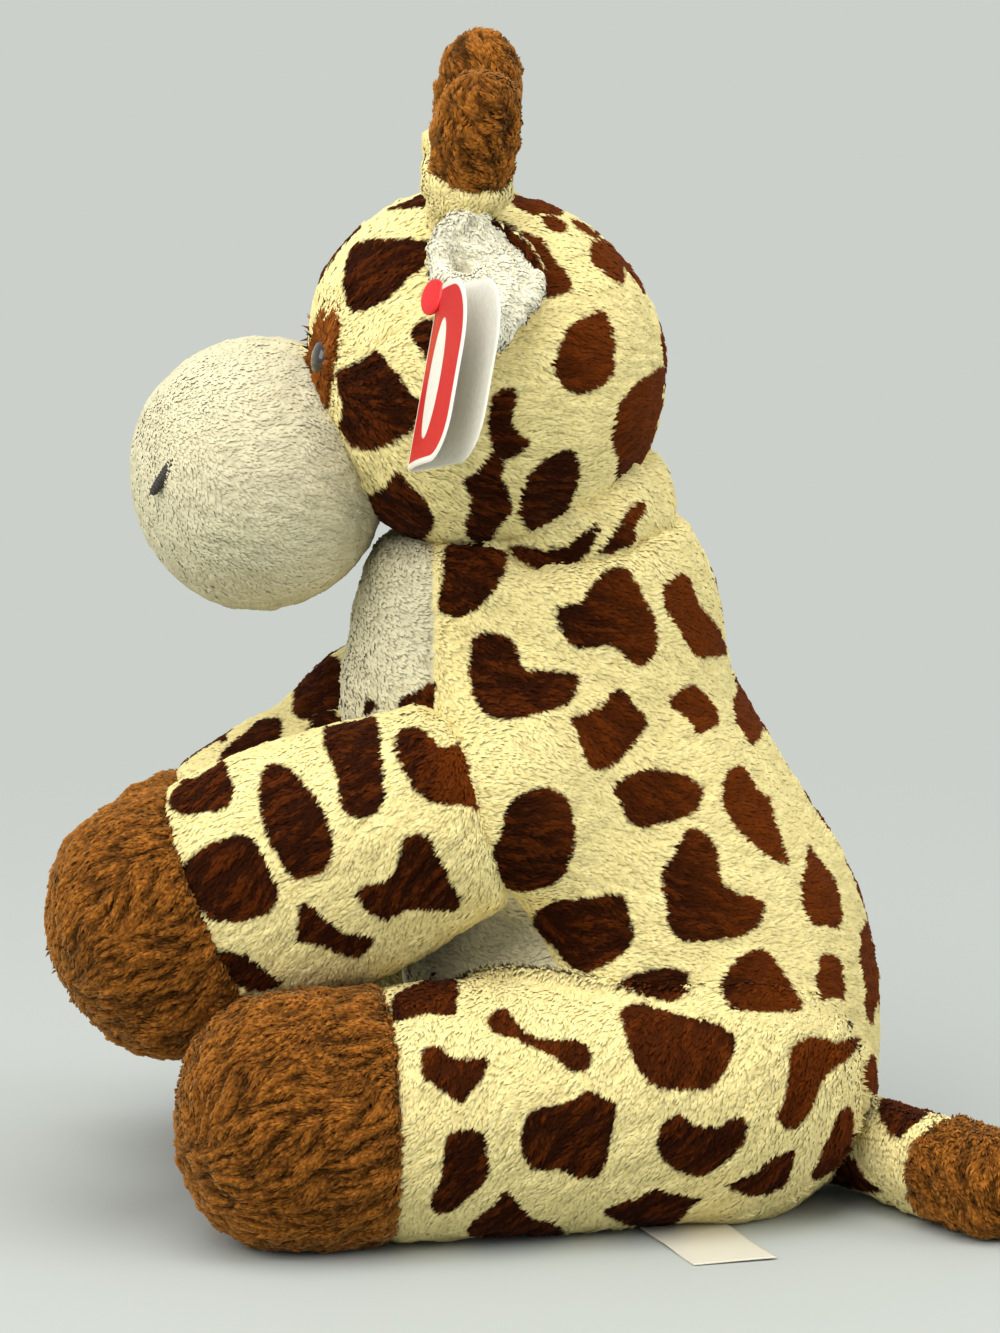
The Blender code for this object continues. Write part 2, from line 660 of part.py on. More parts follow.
# Safety eyes: a glossy dome with a stalk through the cover, an inner washer, and a brown patch below the dome
eye_finish = material("eye_plastic", (0.02, 0.012, 0.01), 0.08)
washer_finish = material("washer_plastic", (0.75, 0.75, 0.74), 0.5)
for side, word in ((1, "left"), (-1, "right")):
    seat = on_front(HEAD_CENTRE, HEAD_SEMI_AXES, side * EYE_HALF_SPAN, EYE_RISE)
    eye_frame = aimed(seat, head_normal(seat), Vector((0.0, 0.0, 1.0)))
    lift = PATCH_THICKNESS + 3 * SEAM_GAP
    dome = [
        (EYE_RADIUS * math.sin(turn), lift + EYE_FLANGE + EYE_DOME * math.cos(turn))
        for turn in [math.radians(90.0) * i / DOME_STEPS for i in range(DOME_STEPS + 1)]
    ]
    profile = dome + [
        (EYE_RADIUS, lift),
        (EYE_STALK_RADIUS, lift),
        (EYE_STALK_RADIUS, lift - EYE_STALK_LENGTH),
        (0.0, lift - EYE_STALK_LENGTH),
    ]
    turned("eye_" + word, profile, eye_finish, SMALL_SIDES, matrix=eye_frame)
    hole = EYE_STALK_RADIUS + SEAM_GAP
    hole_profile = [(0.0, OVERRUN), (hole, OVERRUN), (hole, -OVERRUN), (0.0, -OVERRUN)]
    stalk_room = turned("stalk_room_" + word, hole_profile, None, SMALL_SIDES, matrix=eye_frame, helper=True)
    boolean(head_cover, stalk_room)
    washer_top = -COVER_WALL - 5 * SEAM_GAP
    washer_low = washer_top - WASHER_THICKNESS
    washer = [(WASHER_RADIUS, washer_top), (WASHER_RADIUS, washer_low), (hole, washer_low), (hole, washer_top)]
    turned("eye_washer_" + word, washer, washer_finish, SMALL_SIDES, matrix=eye_frame, closed=True)
    pocket_reach = WASHER_RADIUS + SEAM_GAP
    pocket_low = lift - EYE_STALK_LENGTH - SEAM_GAP
    pocket = [(0.0, OVERRUN), (pocket_reach, OVERRUN), (pocket_reach, pocket_low), (0.0, pocket_low)]
    washer_room = turned("washer_room_" + word, pocket, None, SMALL_SIDES, matrix=eye_frame, helper=True)
    boolean(head_stuffing, washer_room)
    patch_axes = HEAD_SEMI_AXES + Vector((1.0, 1.0, 1.0)) * (PATCH_THICKNESS + SEAM_GAP)
    patch = ball("eye_patch_" + word, HEAD_CENTRE, patch_axes, brown_finish, PATCH_SIDES, PATCH_RINGS)
    patch_outline = [(PATCH_HALF_HEIGHT * a, PATCH_HALF_WIDTH * b) for a, b in circle(1.0, PATCH_SIDES // 2)]
    patch_edge = leaf(
        "patch_edge_" + word,
        patch_outline,
        2 * WASHER_RADIUS,
        None,
        matrix=eye_frame,
        helper=True,
    )
    boolean(patch, patch_edge, "INTERSECT")
    boolean(patch, head_seat)
    boolean(patch, stalk_room)
    boolean(patch, muzzle_room)

# Nostrils: one bar of thread on each side of the muzzle
thread_finish = material("black_thread", (0.02, 0.015, 0.012), 0.7)
for side, word in ((1, "left"), (-1, "right")):
    spot = on_front(MUZZLE_CENTRE, MUZZLE_SEMI_AXES, side * NOSTRIL_HALF_SPAN, NOSTRIL_RISE)
    away = spot - MUZZLE_CENTRE
    normal = Vector([away[i] / MUZZLE_SEMI_AXES[i] ** 2 for i in range(3)]).normalized()
    spot = spot + normal * (NOSTRIL_RADIUS + SEAM_GAP + NOSTRIL_RADIUS / 2)
    nostril_frame = aimed(spot, Vector((0.0, math.sin(NOSTRIL_TILT), math.cos(NOSTRIL_TILT))), normal)
    half = NOSTRIL_LENGTH / 2
    stitch = [(share * NOSTRIL_RADIUS, high * half) for high, share in NOSTRIL_SHARES]
    stitch += [(reach, -high) for reach, high in reversed(stitch)]
    nostril = turned("nostril_" + word, stitch, thread_finish, THREAD_SIDES, matrix=nostril_frame)
    nostril_seat = ball(
        "nostril_seat_" + word,
        MUZZLE_CENTRE,
        MUZZLE_SEMI_AXES + gap,
        None,
        MUZZLE_SIDES,
        MUZZLE_RINGS,
        helper=True,
        pole_turn=muzzle_pole,
    )
    boolean(nostril, nostril_seat)

# Horns: a cream stem sewn on the crown and a brown knob over it
for side, word, splay in ((1, "left", HORN_SPLAY_LEFT), (-1, "right", HORN_SPLAY_RIGHT)):
    inward = (HORN_HALF_SPAN / HEAD_SEMI_AXES.x) ** 2 + (HORN_FORWARD / HEAD_SEMI_AXES.y) ** 2
    foot_height = HEAD_SEMI_AXES.z * math.sqrt(1.0 - inward)
    foot = HEAD_CENTRE + Vector((side * HORN_HALF_SPAN, -HORN_FORWARD, foot_height))
    up = Vector((side * math.sin(splay), math.sin(HORN_LEAN), math.cos(splay)))
    horn_frame = aimed(foot, up, Vector((0.0, 1.0, 0.0)))
    knob = [(share * HORN_RADIUS, high * HORN_LENGTH) for high, share in HORN_TIP_SHARES]
    knob += [(HORN_RADIUS, HORN_SEAM + SEAM_GAP), (0.0, HORN_SEAM + SEAM_GAP)]
    turned("horn_tip_" + word, knob, brown_finish, SMALL_SIDES, matrix=horn_frame)
    stem = [(0.0, HORN_SEAM)]
    stem += [(share * HORN_RADIUS, high * HORN_SEAM) for high, share in HORN_STEM_SHARES]
    stem += [
        (HORN_ROOT_RADIUS, HORN_ROOT_SHARE * HORN_SEAM),
        (HORN_ROOT_RADIUS, -HORN_ROOT_RADIUS),
        (0.0, -HORN_ROOT_RADIUS),
    ]
    horn_stem = turned("horn_stem_" + word, stem, spotted_finish, SMALL_SIDES, matrix=horn_frame)
    boolean(horn_stem, head_seat)

# Ears: a spotted back and a pale lining, folded down over the side of the head
ear_outline = [(share * EAR_HALF_WIDTH, along * EAR_LENGTH) for along, share in EAR_SHARES]
ear_outline += [(-across, along) for across, along in reversed(ear_outline[:-1])]
narrower = 1.0 - EAR_HEM / EAR_HALF_WIDTH
shorter = 1.0 - 2 * EAR_HEM / EAR_LENGTH
lining_outline = [(across * narrower, EAR_HEM + along * shorter) for across, along in ear_outline]
lining_lift = EAR_THICKNESS / 2 + SEAM_GAP + EAR_LINING_THICKNESS / 2
ears = {}
for side, word in ((1, "left"), (-1, "right")):
    spoke = Vector(
        (
            side * math.sin(EAR_AROUND) * math.cos(EAR_FORWARD),
            -math.sin(EAR_FORWARD),
            math.cos(EAR_AROUND) * math.cos(EAR_FORWARD),
        )
    )
    seat = HEAD_CENTRE + Vector([spoke[i] * HEAD_SEMI_AXES[i] for i in range(3)])
    normal = head_normal(seat)
    backward = (Vector((0.0, 1.0, 0.0)) - normal.y * normal).normalized()
    downward = side * backward.cross(normal)
    along = downward * math.cos(EAR_SWEEP) + backward * math.sin(EAR_SWEEP)
    along = along * math.cos(EAR_STAND_OFF) + normal * math.sin(EAR_STAND_OFF)
    outward = (normal - normal.dot(along) * along).normalized()
    across = along.cross(outward)
    turn = Matrix((across, along, outward)).transposed().to_4x4()
    root = seat + normal * (SWING_GAP + EAR_THICKNESS / 2)
    roll = Matrix.Rotation(side * EAR_ROLL, 4, "Y")
    ear_frame = Matrix.Translation(root) @ turn @ roll
    ear_pivot = pivot("ear_" + word + "_pivot", ear_frame)
    back = leaf("ear_back_" + word, ear_outline, EAR_THICKNESS, spotted_finish, ear_pivot)
    boolean(back, head_room)
    lining_place = Matrix.Translation((0.0, 0.0, lining_lift))
    lining = leaf("ear_lining_" + word, lining_outline, EAR_LINING_THICKNESS, pale_finish, ear_pivot, lining_place)
    boolean(lining, head_room)
    ears[word] = (ear_frame, ear_pivot, lining)

# Pin of the swing tag: a headed plastic thread out of the left ear's lining
ear_frame, ear_pivot, lining = ears["left"]
pin_way = Vector((math.sin(PIN_YAW), -math.cos(PIN_YAW), 0.0))
pin_foot = ear_frame @ Vector((PIN_ACROSS_EAR, PIN_ALONG_EAR, lining_lift))
pin_frame = aimed(pin_foot, pin_way, Vector((0.0, 0.0, 1.0)))
pin_outline = [
    (0.0, PIN_LENGTH),
    (PIN_HEAD_RADIUS, PIN_LENGTH),
    (PIN_HEAD_RADIUS, PIN_LENGTH - PIN_HEAD_THICKNESS),
    (PIN_RADIUS, PIN_LENGTH - PIN_HEAD_THICKNESS),
    (PIN_RADIUS, 0.0),
    (0.0, 0.0),
]
pin_finish = material("red_pin_plastic", (0.70, 0.02, 0.02), 0.3)
turned("tag_pin", pin_outline, pin_finish, THREAD_SIDES, ear_pivot, ear_frame.inverted() @ pin_frame)
pin_room_outline = [
    (0.0, PIN_LENGTH),
    (PIN_RADIUS + SEAM_GAP, PIN_LENGTH),
    (PIN_RADIUS + SEAM_GAP, -SEAM_GAP),
    (0.0, -SEAM_GAP),
]
pin_room = turned("pin_room", pin_room_outline, None, THREAD_SIDES, matrix=pin_frame, helper=True)
boolean(lining, pin_room)

# Swing tag: a folded card hanging on the pin, its fold against the head
paper_red = material("red_card", (0.60, 0.03, 0.03), 0.35)
paper_pale = material("pale_card", (0.85, 0.84, 0.80), 0.45)
corners = (
    (TAG_TOP_CORNER, TAG_HOLE_DROP - TAG_TOP_CORNER, 90.0),
    (TAG_LOW_CORNER, TAG_HOLE_DROP - TAG_HEIGHT + TAG_LOW_CORNER, 0.0),
)
tag_outline = [(0.0, TAG_HOLE_DROP - TAG_HEIGHT), (0.0, TAG_HOLE_DROP)]
for radius, along, start in corners:
    for i in range(CORNER_STEPS + 1):
        turn = math.radians(start - 90.0 * i / CORNER_STEPS)
        across = TAG_WIDTH - radius + radius * math.cos(turn)
        tag_outline.append((across, along + radius * math.sin(turn)))
tag_hole = circle(TAG_HOLE_RADIUS, THREAD_SIDES, TAG_FOLD_INSET, 0.0)
level = Vector((math.cos(PIN_YAW), math.sin(PIN_YAW), 0.0))
sideways = level * math.cos(TAG_LEAN) + Vector((0.0, 0.0, math.sin(TAG_LEAN)))
fold = pin_foot + pin_way * PIN_LENGTH * TAG_ALONG_PIN_SHARE - sideways * TAG_FOLD_INSET
front_frame = aimed(fold + pin_way * (TAG_THICKNESS + SEAM_GAP), pin_way, sideways)
back_frame = aimed(fold, pin_way, sideways) @ Matrix.Rotation(TAG_LEAF_ANGLE, 4, "Y")
for word, finish, frame in (("back", paper_pale, back_frame), ("front", paper_red, front_frame)):
    tag_pivot = pivot("swing_tag_" + word + "_pivot", frame)
    leaf("swing_tag_" + word, tag_outline, TAG_THICKNESS, finish, tag_pivot, None, [tag_hole])

# Sewn-in label lying on the ground beside the seat seam
label_finish = material("woven_label", (0.86, 0.80, 0.66), 0.7)
half_label = LABEL_WIDTH / 2
label_outline = [(0.0, -half_label), (LABEL_LENGTH, -half_label), (LABEL_LENGTH, half_label), (0.0, half_label)]
label_place = Matrix.Translation(LABEL_ROOT + Vector((0.0, 0.0, LABEL_LIFT + LABEL_THICKNESS / 2)))
label_place = label_place @ Matrix.Rotation(LABEL_YAW, 4, "Z")
leaf("sewn_label", label_outline, LABEL_THICKNESS, label_finish, matrix=label_place)
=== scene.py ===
"""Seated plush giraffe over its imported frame: plush skins and their pile, eyes, tag and label.

Shapes are worked out in millimetres and made in metres.
+Z is up, the toy faces -Y and its left side is +X.
"""

import math

import bpy
import numpy as np
from mathutils import Matrix
from mathutils.bvhtree import BVHTree


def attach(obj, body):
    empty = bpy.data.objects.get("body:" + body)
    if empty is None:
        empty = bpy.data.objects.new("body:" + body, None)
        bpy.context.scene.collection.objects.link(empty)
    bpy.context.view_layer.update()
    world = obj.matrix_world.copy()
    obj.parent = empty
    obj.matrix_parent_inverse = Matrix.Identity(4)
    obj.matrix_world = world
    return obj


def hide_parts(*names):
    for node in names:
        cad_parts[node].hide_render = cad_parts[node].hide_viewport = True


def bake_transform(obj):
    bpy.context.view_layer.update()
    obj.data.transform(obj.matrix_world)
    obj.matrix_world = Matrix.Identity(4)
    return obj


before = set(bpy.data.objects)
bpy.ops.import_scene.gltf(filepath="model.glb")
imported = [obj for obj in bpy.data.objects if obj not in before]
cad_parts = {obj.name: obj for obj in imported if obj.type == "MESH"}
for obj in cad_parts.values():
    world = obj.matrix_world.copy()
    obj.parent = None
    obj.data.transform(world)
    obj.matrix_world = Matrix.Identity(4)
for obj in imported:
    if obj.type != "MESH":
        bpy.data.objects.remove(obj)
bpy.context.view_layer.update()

# Camera
# The photograph looks at the toy's left side from a little above it and from far off, with a
# long lens. One pixel of it covers PIXEL mm at the toy's middle plane.
PIXEL = 0.2087
PICTURE_WIDTH = 1000
PICTURE_HEIGHT = 1333
SENSOR_WIDTH = 36.0
CAMERA_AIM = np.array((0.0, -35.9, 110.5))
CAMERA_DISTANCE = 3000.0
CAMERA_RISE = math.radians(11.0)
MM = 0.001
toward = np.array((math.cos(CAMERA_RISE), 0.0, math.sin(CAMERA_RISE)))
rightward = np.array((0.0, 1.0, 0.0))
upward = np.array((-math.sin(CAMERA_RISE), 0.0, math.cos(CAMERA_RISE)))
camera_spot = CAMERA_AIM + CAMERA_DISTANCE * toward
camera_data = bpy.data.cameras.new("camera")
camera_data.sensor_fit = "HORIZONTAL"
camera_data.sensor_width = SENSOR_WIDTH
camera_data.lens = SENSOR_WIDTH * CAMERA_DISTANCE / (PIXEL * PICTURE_WIDTH)
camera_data.clip_end = 30.0
camera = bpy.data.objects.new("camera", camera_data)
bpy.context.scene.collection.objects.link(camera)
camera_turn = Matrix(np.array((rightward, upward, toward)).T.tolist()).to_4x4()
camera.matrix_world = Matrix.Translation((camera_spot * MM).tolist()) @ camera_turn
bpy.context.scene.camera = camera
bpy.context.scene.view_settings.view_transform = "Standard"

# Floor, backdrop and light
# A matt pale table top fades into an even grey-green backdrop of the same tone.
# Broad soft lamps stand overhead, by the camera and in front, and a weaker one behind the toy.
FLOOR_COLOUR = (0.435, 0.459, 0.432)
BACKDROP_COLOUR = (0.597, 0.631, 0.591)
FADE_FROM = 0.20
FADE_TO = 0.55
FLOOR_REACH = 6.0
FLOOR_SPECKLE = 1.03
WORLD_COLOUR = (0.93, 0.96, 0.95)
WORLD_STRENGTH = 0.74


def noded(name):
    """A new material with its Principled shader, its node maker and its link maker."""
    made = bpy.data.materials.new(name + "_finish")
    made.use_nodes = True
    tree = made.node_tree
    shader = tree.nodes["Principled BSDF"]

    def node(kind, **values):
        new = tree.nodes.new(kind)
        for key, value in values.items():
            if key in new.inputs:
                new.inputs[key].default_value = value
            else:
                setattr(new, key, value)
        return new

    return made, shader, node, tree.links.new


def noise_value(node, link, scale, detail=2.0):
    """The value of a noise texture fixed to the piece, with lumps 1/scale metres across."""
    place = node("ShaderNodeTexCoord")
    made = node("ShaderNodeTexNoise", Scale=scale, Detail=detail)
    link(place.outputs["Object"], made.inputs["Vector"])
    return made.outputs["Fac"]


def mixed(node, link, factor, first, second, way="MIX"):
    """The colour between two colours or outputs."""
    made = node("ShaderNodeMix", data_type="RGBA", blend_type=way)
    if isinstance(factor, float):
        made.inputs["Factor"].default_value = factor
    else:
        link(factor, made.inputs["Factor"])
    for value, socket in ((first, made.inputs[6]), (second, made.inputs[7])):
        if isinstance(value, tuple):
            socket.default_value = (*value, 1.0)
        else:
            link(value, socket)
    return made.outputs[2]


def ranged(node, link, value, low, high, to_low=0.0, to_high=1.0, smooth=False):
    """A value carried from one range to another and held inside it."""
    made = node("ShaderNodeMapRange")
    if smooth:
        made.interpolation_type = "SMOOTHSTEP"
    link(value, made.inputs["Value"])
    ends = {"From Min": low, "From Max": high, "To Min": to_low, "To Max": to_high}
    for key, number in ends.items():
        made.inputs[key].default_value = number
    return made.outputs["Result"]


floor_finish, shader, node, link = noded("table_top")
speckle = ranged(node, link, noise_value(node, link, 3.0), 0.3, 0.7)
paler = tuple(min(1.0, part * FLOOR_SPECKLE) for part in FLOOR_COLOUR)
link(mixed(node, link, speckle, FLOOR_COLOUR, paler), shader.inputs["Base Color"])
shader.inputs["Roughness"].default_value = 0.75
distance = node("ShaderNodeVectorMath", operation="LENGTH")
link(node("ShaderNodeTexCoord").outputs["Object"], distance.inputs[0])
fade = ranged(node, link, distance.outputs["Value"], FADE_FROM, FADE_TO, smooth=True)
seen = node("ShaderNodeMath", operation="MULTIPLY")
link(fade, seen.inputs[0])
link(node("ShaderNodeLightPath").outputs["Is Camera Ray"], seen.inputs[1])
glow = node("ShaderNodeEmission", Color=(*BACKDROP_COLOUR, 1.0))
blend = node("ShaderNodeMixShader")
link(seen.outputs[0], blend.inputs["Fac"])
link(shader.outputs["BSDF"], blend.inputs[1])
link(glow.outputs["Emission"], blend.inputs[2])
link(blend.outputs["Shader"], floor_finish.node_tree.nodes["Material Output"].inputs["Surface"])
floor_mesh = bpy.data.meshes.new("table_top")
corners = [(x * FLOOR_REACH, y * FLOOR_REACH, 0) for x, y in ((-1, -1), (1, -1), (1, 1), (-1, 1))]
floor_mesh.from_pydata(corners, [], [(0, 1, 2, 3)])
floor_mesh.materials.append(floor_finish)
table_top = bpy.data.objects.new("table_top", floor_mesh)
bpy.context.scene.collection.objects.link(table_top)


def lamp(name, place, size, watts, colour=(1.0, 1.0, 1.0), aim=(0.0, -0.03, 0.10)):
    """A square soft lamp that looks at the toy."""
    data = bpy.data.lights.new(name, "AREA")
    data.size = size
    data.energy = watts
    data.color = colour
    thing = bpy.data.objects.new(name, data)
    bpy.context.scene.collection.objects.link(thing)
    back = np.array(place) - np.array(aim)
    back /= np.linalg.norm(back)
    side = np.cross((0.0, 0.0, 1.0), back)
    side /= np.linalg.norm(side)
    turn = Matrix(np.array((side, np.cross(back, side), back)).T.tolist()).to_4x4()
    thing.matrix_world = Matrix.Translation(place) @ turn


lamp("overhead_lamp", (0.30, -0.15, 1.50), 1.0, 11.0)
lamp("camera_lamp", (1.40, -0.75, 1.40), 1.2, 18.0, (1.0, 0.98, 0.95))
lamp("front_lamp", (0.50, -1.80, 1.00), 1.1, 10.0, (1.0, 0.98, 0.94))
lamp("back_lamp", (0.50, 1.30, 0.80), 0.7, 6.0)
world = bpy.data.worlds.new("studio")
bpy.context.scene.world = world
world.use_nodes = True
nodes, links = world.node_tree.nodes, world.node_tree.links
sky = nodes["Background"]
seen_sky = nodes.new("ShaderNodeBackground")
for part, colour, strength in (
    (sky, WORLD_COLOUR, WORLD_STRENGTH),
    (seen_sky, BACKDROP_COLOUR, 1.0),
):
    part.inputs["Color"].default_value = (*colour, 1.0)
    part.inputs["Strength"].default_value = strength
path = nodes.new("ShaderNodeLightPath")
either = nodes.new("ShaderNodeMixShader")
links.new(path.outputs["Is Camera Ray"], either.inputs["Fac"])
links.new(sky.outputs["Background"], either.inputs[1])
links.new(seen_sky.outputs["Background"], either.inputs[2])
links.new(either.outputs["Shader"], nodes["World Output"].inputs["Surface"])

# Plush cloth
# Short knitted plush: cream with printed dark brown spots, plain brown, and off-white. Each skin
# has combed clumps in its mesh, and thousands of small locks of pile lie on it along the comb.
SPACING = 0.85
CREAM = (0.90, 0.78, 0.38)
CREAM_DEEP = (0.80, 0.66, 0.27)
SPOT_DARK = (0.026, 0.0055, 0.001)
# The spots' red where light is painted on them
SPOT_LIT_RED = (0.150, 0.030, 0.002)
PALE = (0.70, 0.65, 0.455)
PALE_DEEP = (0.66, 0.60, 0.38)
SEED_SHIFT = 7.31
STREAK_SAMPLES = 7
STREAK_GAIN = 1.1


def noise(points, lump, seed):
    """Smooth random numbers from -1 to 1 at points in mm, with lumps this wide."""
    place = points / lump + seed * SEED_SHIFT
    cell = np.floor(place).astype(np.int64)
    part = place - cell
    part = part * part * (3.0 - 2.0 * part)
    total = np.zeros(len(points))
    for corner in range(8):
        step = np.array((corner & 1, corner >> 1 & 1, corner >> 2 & 1))
        spot = cell + step
        x, y, z = spot.T
        mix = x * 73856093 ^ y * 19349663 ^ z * 83492791 ^ seed * 2971215073
        mix = (mix ^ mix >> 13) * 1274126177 & 0xFFFFFFFF
        mix = (mix ^ mix >> 15) * 2246822519 & 0xFFFFFFFF
        value = (mix >> 8 & 0xFFFF) / 32767.5 - 1.0
        total += value * np.prod(np.where(step, part, 1.0 - part), axis=1)
    return total


def streaks(points, way, width, reach, seed):
    """Random numbers about -1 to 1 that stay alike along the comb way."""
    steps = np.linspace(-0.5, 0.5, STREAK_SAMPLES)
    total = sum(noise(points + way * (step * reach), width, seed) for step in steps)
    return total / math.sqrt(len(steps)) * STREAK_GAIN


def unit(vectors):
    """Vectors brought to length one."""
    return vectors / np.maximum(np.linalg.norm(vectors, axis=-1, keepdims=True), 1e-9)


def flattened(vectors, normals):
    """Unit vectors with the part along the normals taken out."""
    return unit(vectors - (vectors * normals).sum(axis=1, keepdims=True) * normals)


def smooth_step(value, low, high):
    """0 below low, 1 above high and an eased rise between them."""
    part = np.clip((value - low) / (high - low), 0.0, 1.0)
    return part * part * (3.0 - 2.0 * part)


def plateau(value, rise, fall):
    """1 between two slopes, each given by its ends, and 0 outside them."""
    return smooth_step(value, *rise) * (1.0 - smooth_step(value, *fall))


def rested(heights, start, floor):
    """Heights that ease down to a floor: those above start stay as they are."""
    soft = start - floor
    low = np.minimum(heights, start)
    return np.where(heights < start, floor + soft * np.exp((low - start) / soft), heights)


def curve(a, b, c, d, t):
    """A place on the smooth curve through four, this share of the way from the second on."""
    cubic = 3 * b - a - 3 * c + d
    return 0.5 * (2 * b + (c - a) * t + (2 * a - 5 * b + 4 * c - d) * t**2 + cubic * t**3)


def eased(rows, step):
    """Rows on a smooth curve through the given ones, step mm apart by their first two columns."""
    rows = np.array(rows, float)
    ends = np.vstack((2 * rows[0] - rows[1], rows, 2 * rows[-1] - rows[-2]))
    fine = []
    for four in zip(ends, ends[1:], ends[2:], ends[3:]):
        fine += [curve(*four, t) for t in np.linspace(0.0, 1.0, 24, endpoint=False)]
    fine = np.array(fine + [rows[-1]])
    steps = np.linalg.norm(np.diff(fine[:, [0, 1]], axis=0), axis=1)
    length = np.concatenate(([0.0], np.cumsum(steps)))
    count = max(8, int(round(length[-1] / step)))
    at = np.linspace(0.0, length[-1], count + 1)
    return np.stack([np.interp(at, length, column) for column in fine.T], axis=1)


def face_spans(points, faces):
    """A vector for each face, across it and twice as long as it is large."""
    last = np.where(faces[:, 3] >= 0, faces[:, 3], faces[:, 2])
    return np.cross(points[faces[:, 2]] - points[faces[:, 0]], points[last] - points[faces[:, 1]])


def ringed(rings):
    """A closed skin through rings of points, its end rings each drawn to one point."""
    rows, count = rings.shape[:2]
    middle = rings[1:-1].reshape(-1, 3)
    points = np.vstack((rings[0].mean(axis=0), middle, rings[-1].mean(axis=0)))
    turn = np.arange(count)
    after = (turn + 1) % count
    start = 1 + count * np.arange(rows - 3)[:, None]
    above = start + count
    quads = np.stack((start + turn, start + after, above + after, above + turn), axis=-1)
    quads = quads.reshape(-1, 4)
    last = len(points) - 1
    none = np.full(count, -1)
    low = np.stack((np.zeros(count, int), 1 + after, 1 + turn, none), axis=-1)
    top_ring = 1 + count * (rows - 3)
    high = np.stack((top_ring + turn, top_ring + after, np.full(count, last), none), axis=-1)
    faces = np.vstack((low, quads, high))
    across = np.stack((turn, turn + 1, turn + 1, turn), axis=-1) / count
    row = np.arange(rows - 3)
    up = np.stack((row + 1, row + 1, row + 2, row + 2), axis=-1) / (rows - 1)
    grid = np.empty((rows - 3, count, 4, 2))
    grid[..., 0] = across[None]
    grid[..., 1] = up[:, None]
    low_map, high_map = (
        np.stack((across[:, [0, 1, 0, 0]], np.tile(row, (count, 1)) / (rows - 1)), axis=-1)
        for row in ((0.0, 1.0, 1.0, 0.0), (rows - 2.0, rows - 2.0, rows - 1.0, rows - 1.0))
    )
    chart = np.concatenate((low_map, grid.reshape(-1, 4, 2), high_map))
    if ((points[faces[:, 0]] - points.mean(axis=0)) * face_spans(points, faces)).sum() < 0:
        order = faces.copy()
        order[:, 0], order[:, 2] = faces[:, 2], faces[:, 0]
        faces = order
        chart = chart[:, [2, 1, 0, 3]]
    return points, faces, chart


def normals_of(points, faces):
    """Unit normals at the points of a skin."""
    total = np.zeros_like(points)
    span = face_spans(points, faces)
    for i in range(4):
        used = faces[:, i] >= 0
        for axis in range(3):
            total[:, axis] += np.bincount(faces[used, i], span[used, axis], len(points))
    return unit(total)


def made_object(name, points, faces, chart, finish, values, normals=None):
    """The object for a skin, with its numbers at each point and its map."""
    used = faces >= 0
    corners = faces[used].astype(np.int32)
    counts = used.sum(axis=1)
    mesh = bpy.data.meshes.new(name)
    mesh.vertices.add(len(points))
    mesh.vertices.foreach_set("co", (points * MM).astype(np.float32).ravel())
    mesh.loops.add(len(corners))
    mesh.loops.foreach_set("vertex_index", corners)
    mesh.polygons.add(len(faces))
    mesh.polygons.foreach_set("loop_start", (np.cumsum(counts) - counts).astype(np.int32))
    mesh.polygons.foreach_set("use_smooth", np.ones(len(faces), bool))
    layer = mesh.uv_layers.new(name="OFBake")
    layer.uv.foreach_set("vector", chart[used].astype(np.float32).ravel())
    for key, numbers in values.items():
        made = mesh.attributes.new(key, "FLOAT", "POINT")
        made.data.foreach_set("value", np.asarray(numbers, np.float32))
    mesh.update(calc_edges=True)
    if normals is not None:
        mesh.normals_split_custom_set_from_vertices(normals.astype(np.float32))
    mesh.materials.append(finish)
    thing = bpy.data.objects.new(name, mesh)
    bpy.context.scene.collection.objects.link(thing)
    return thing


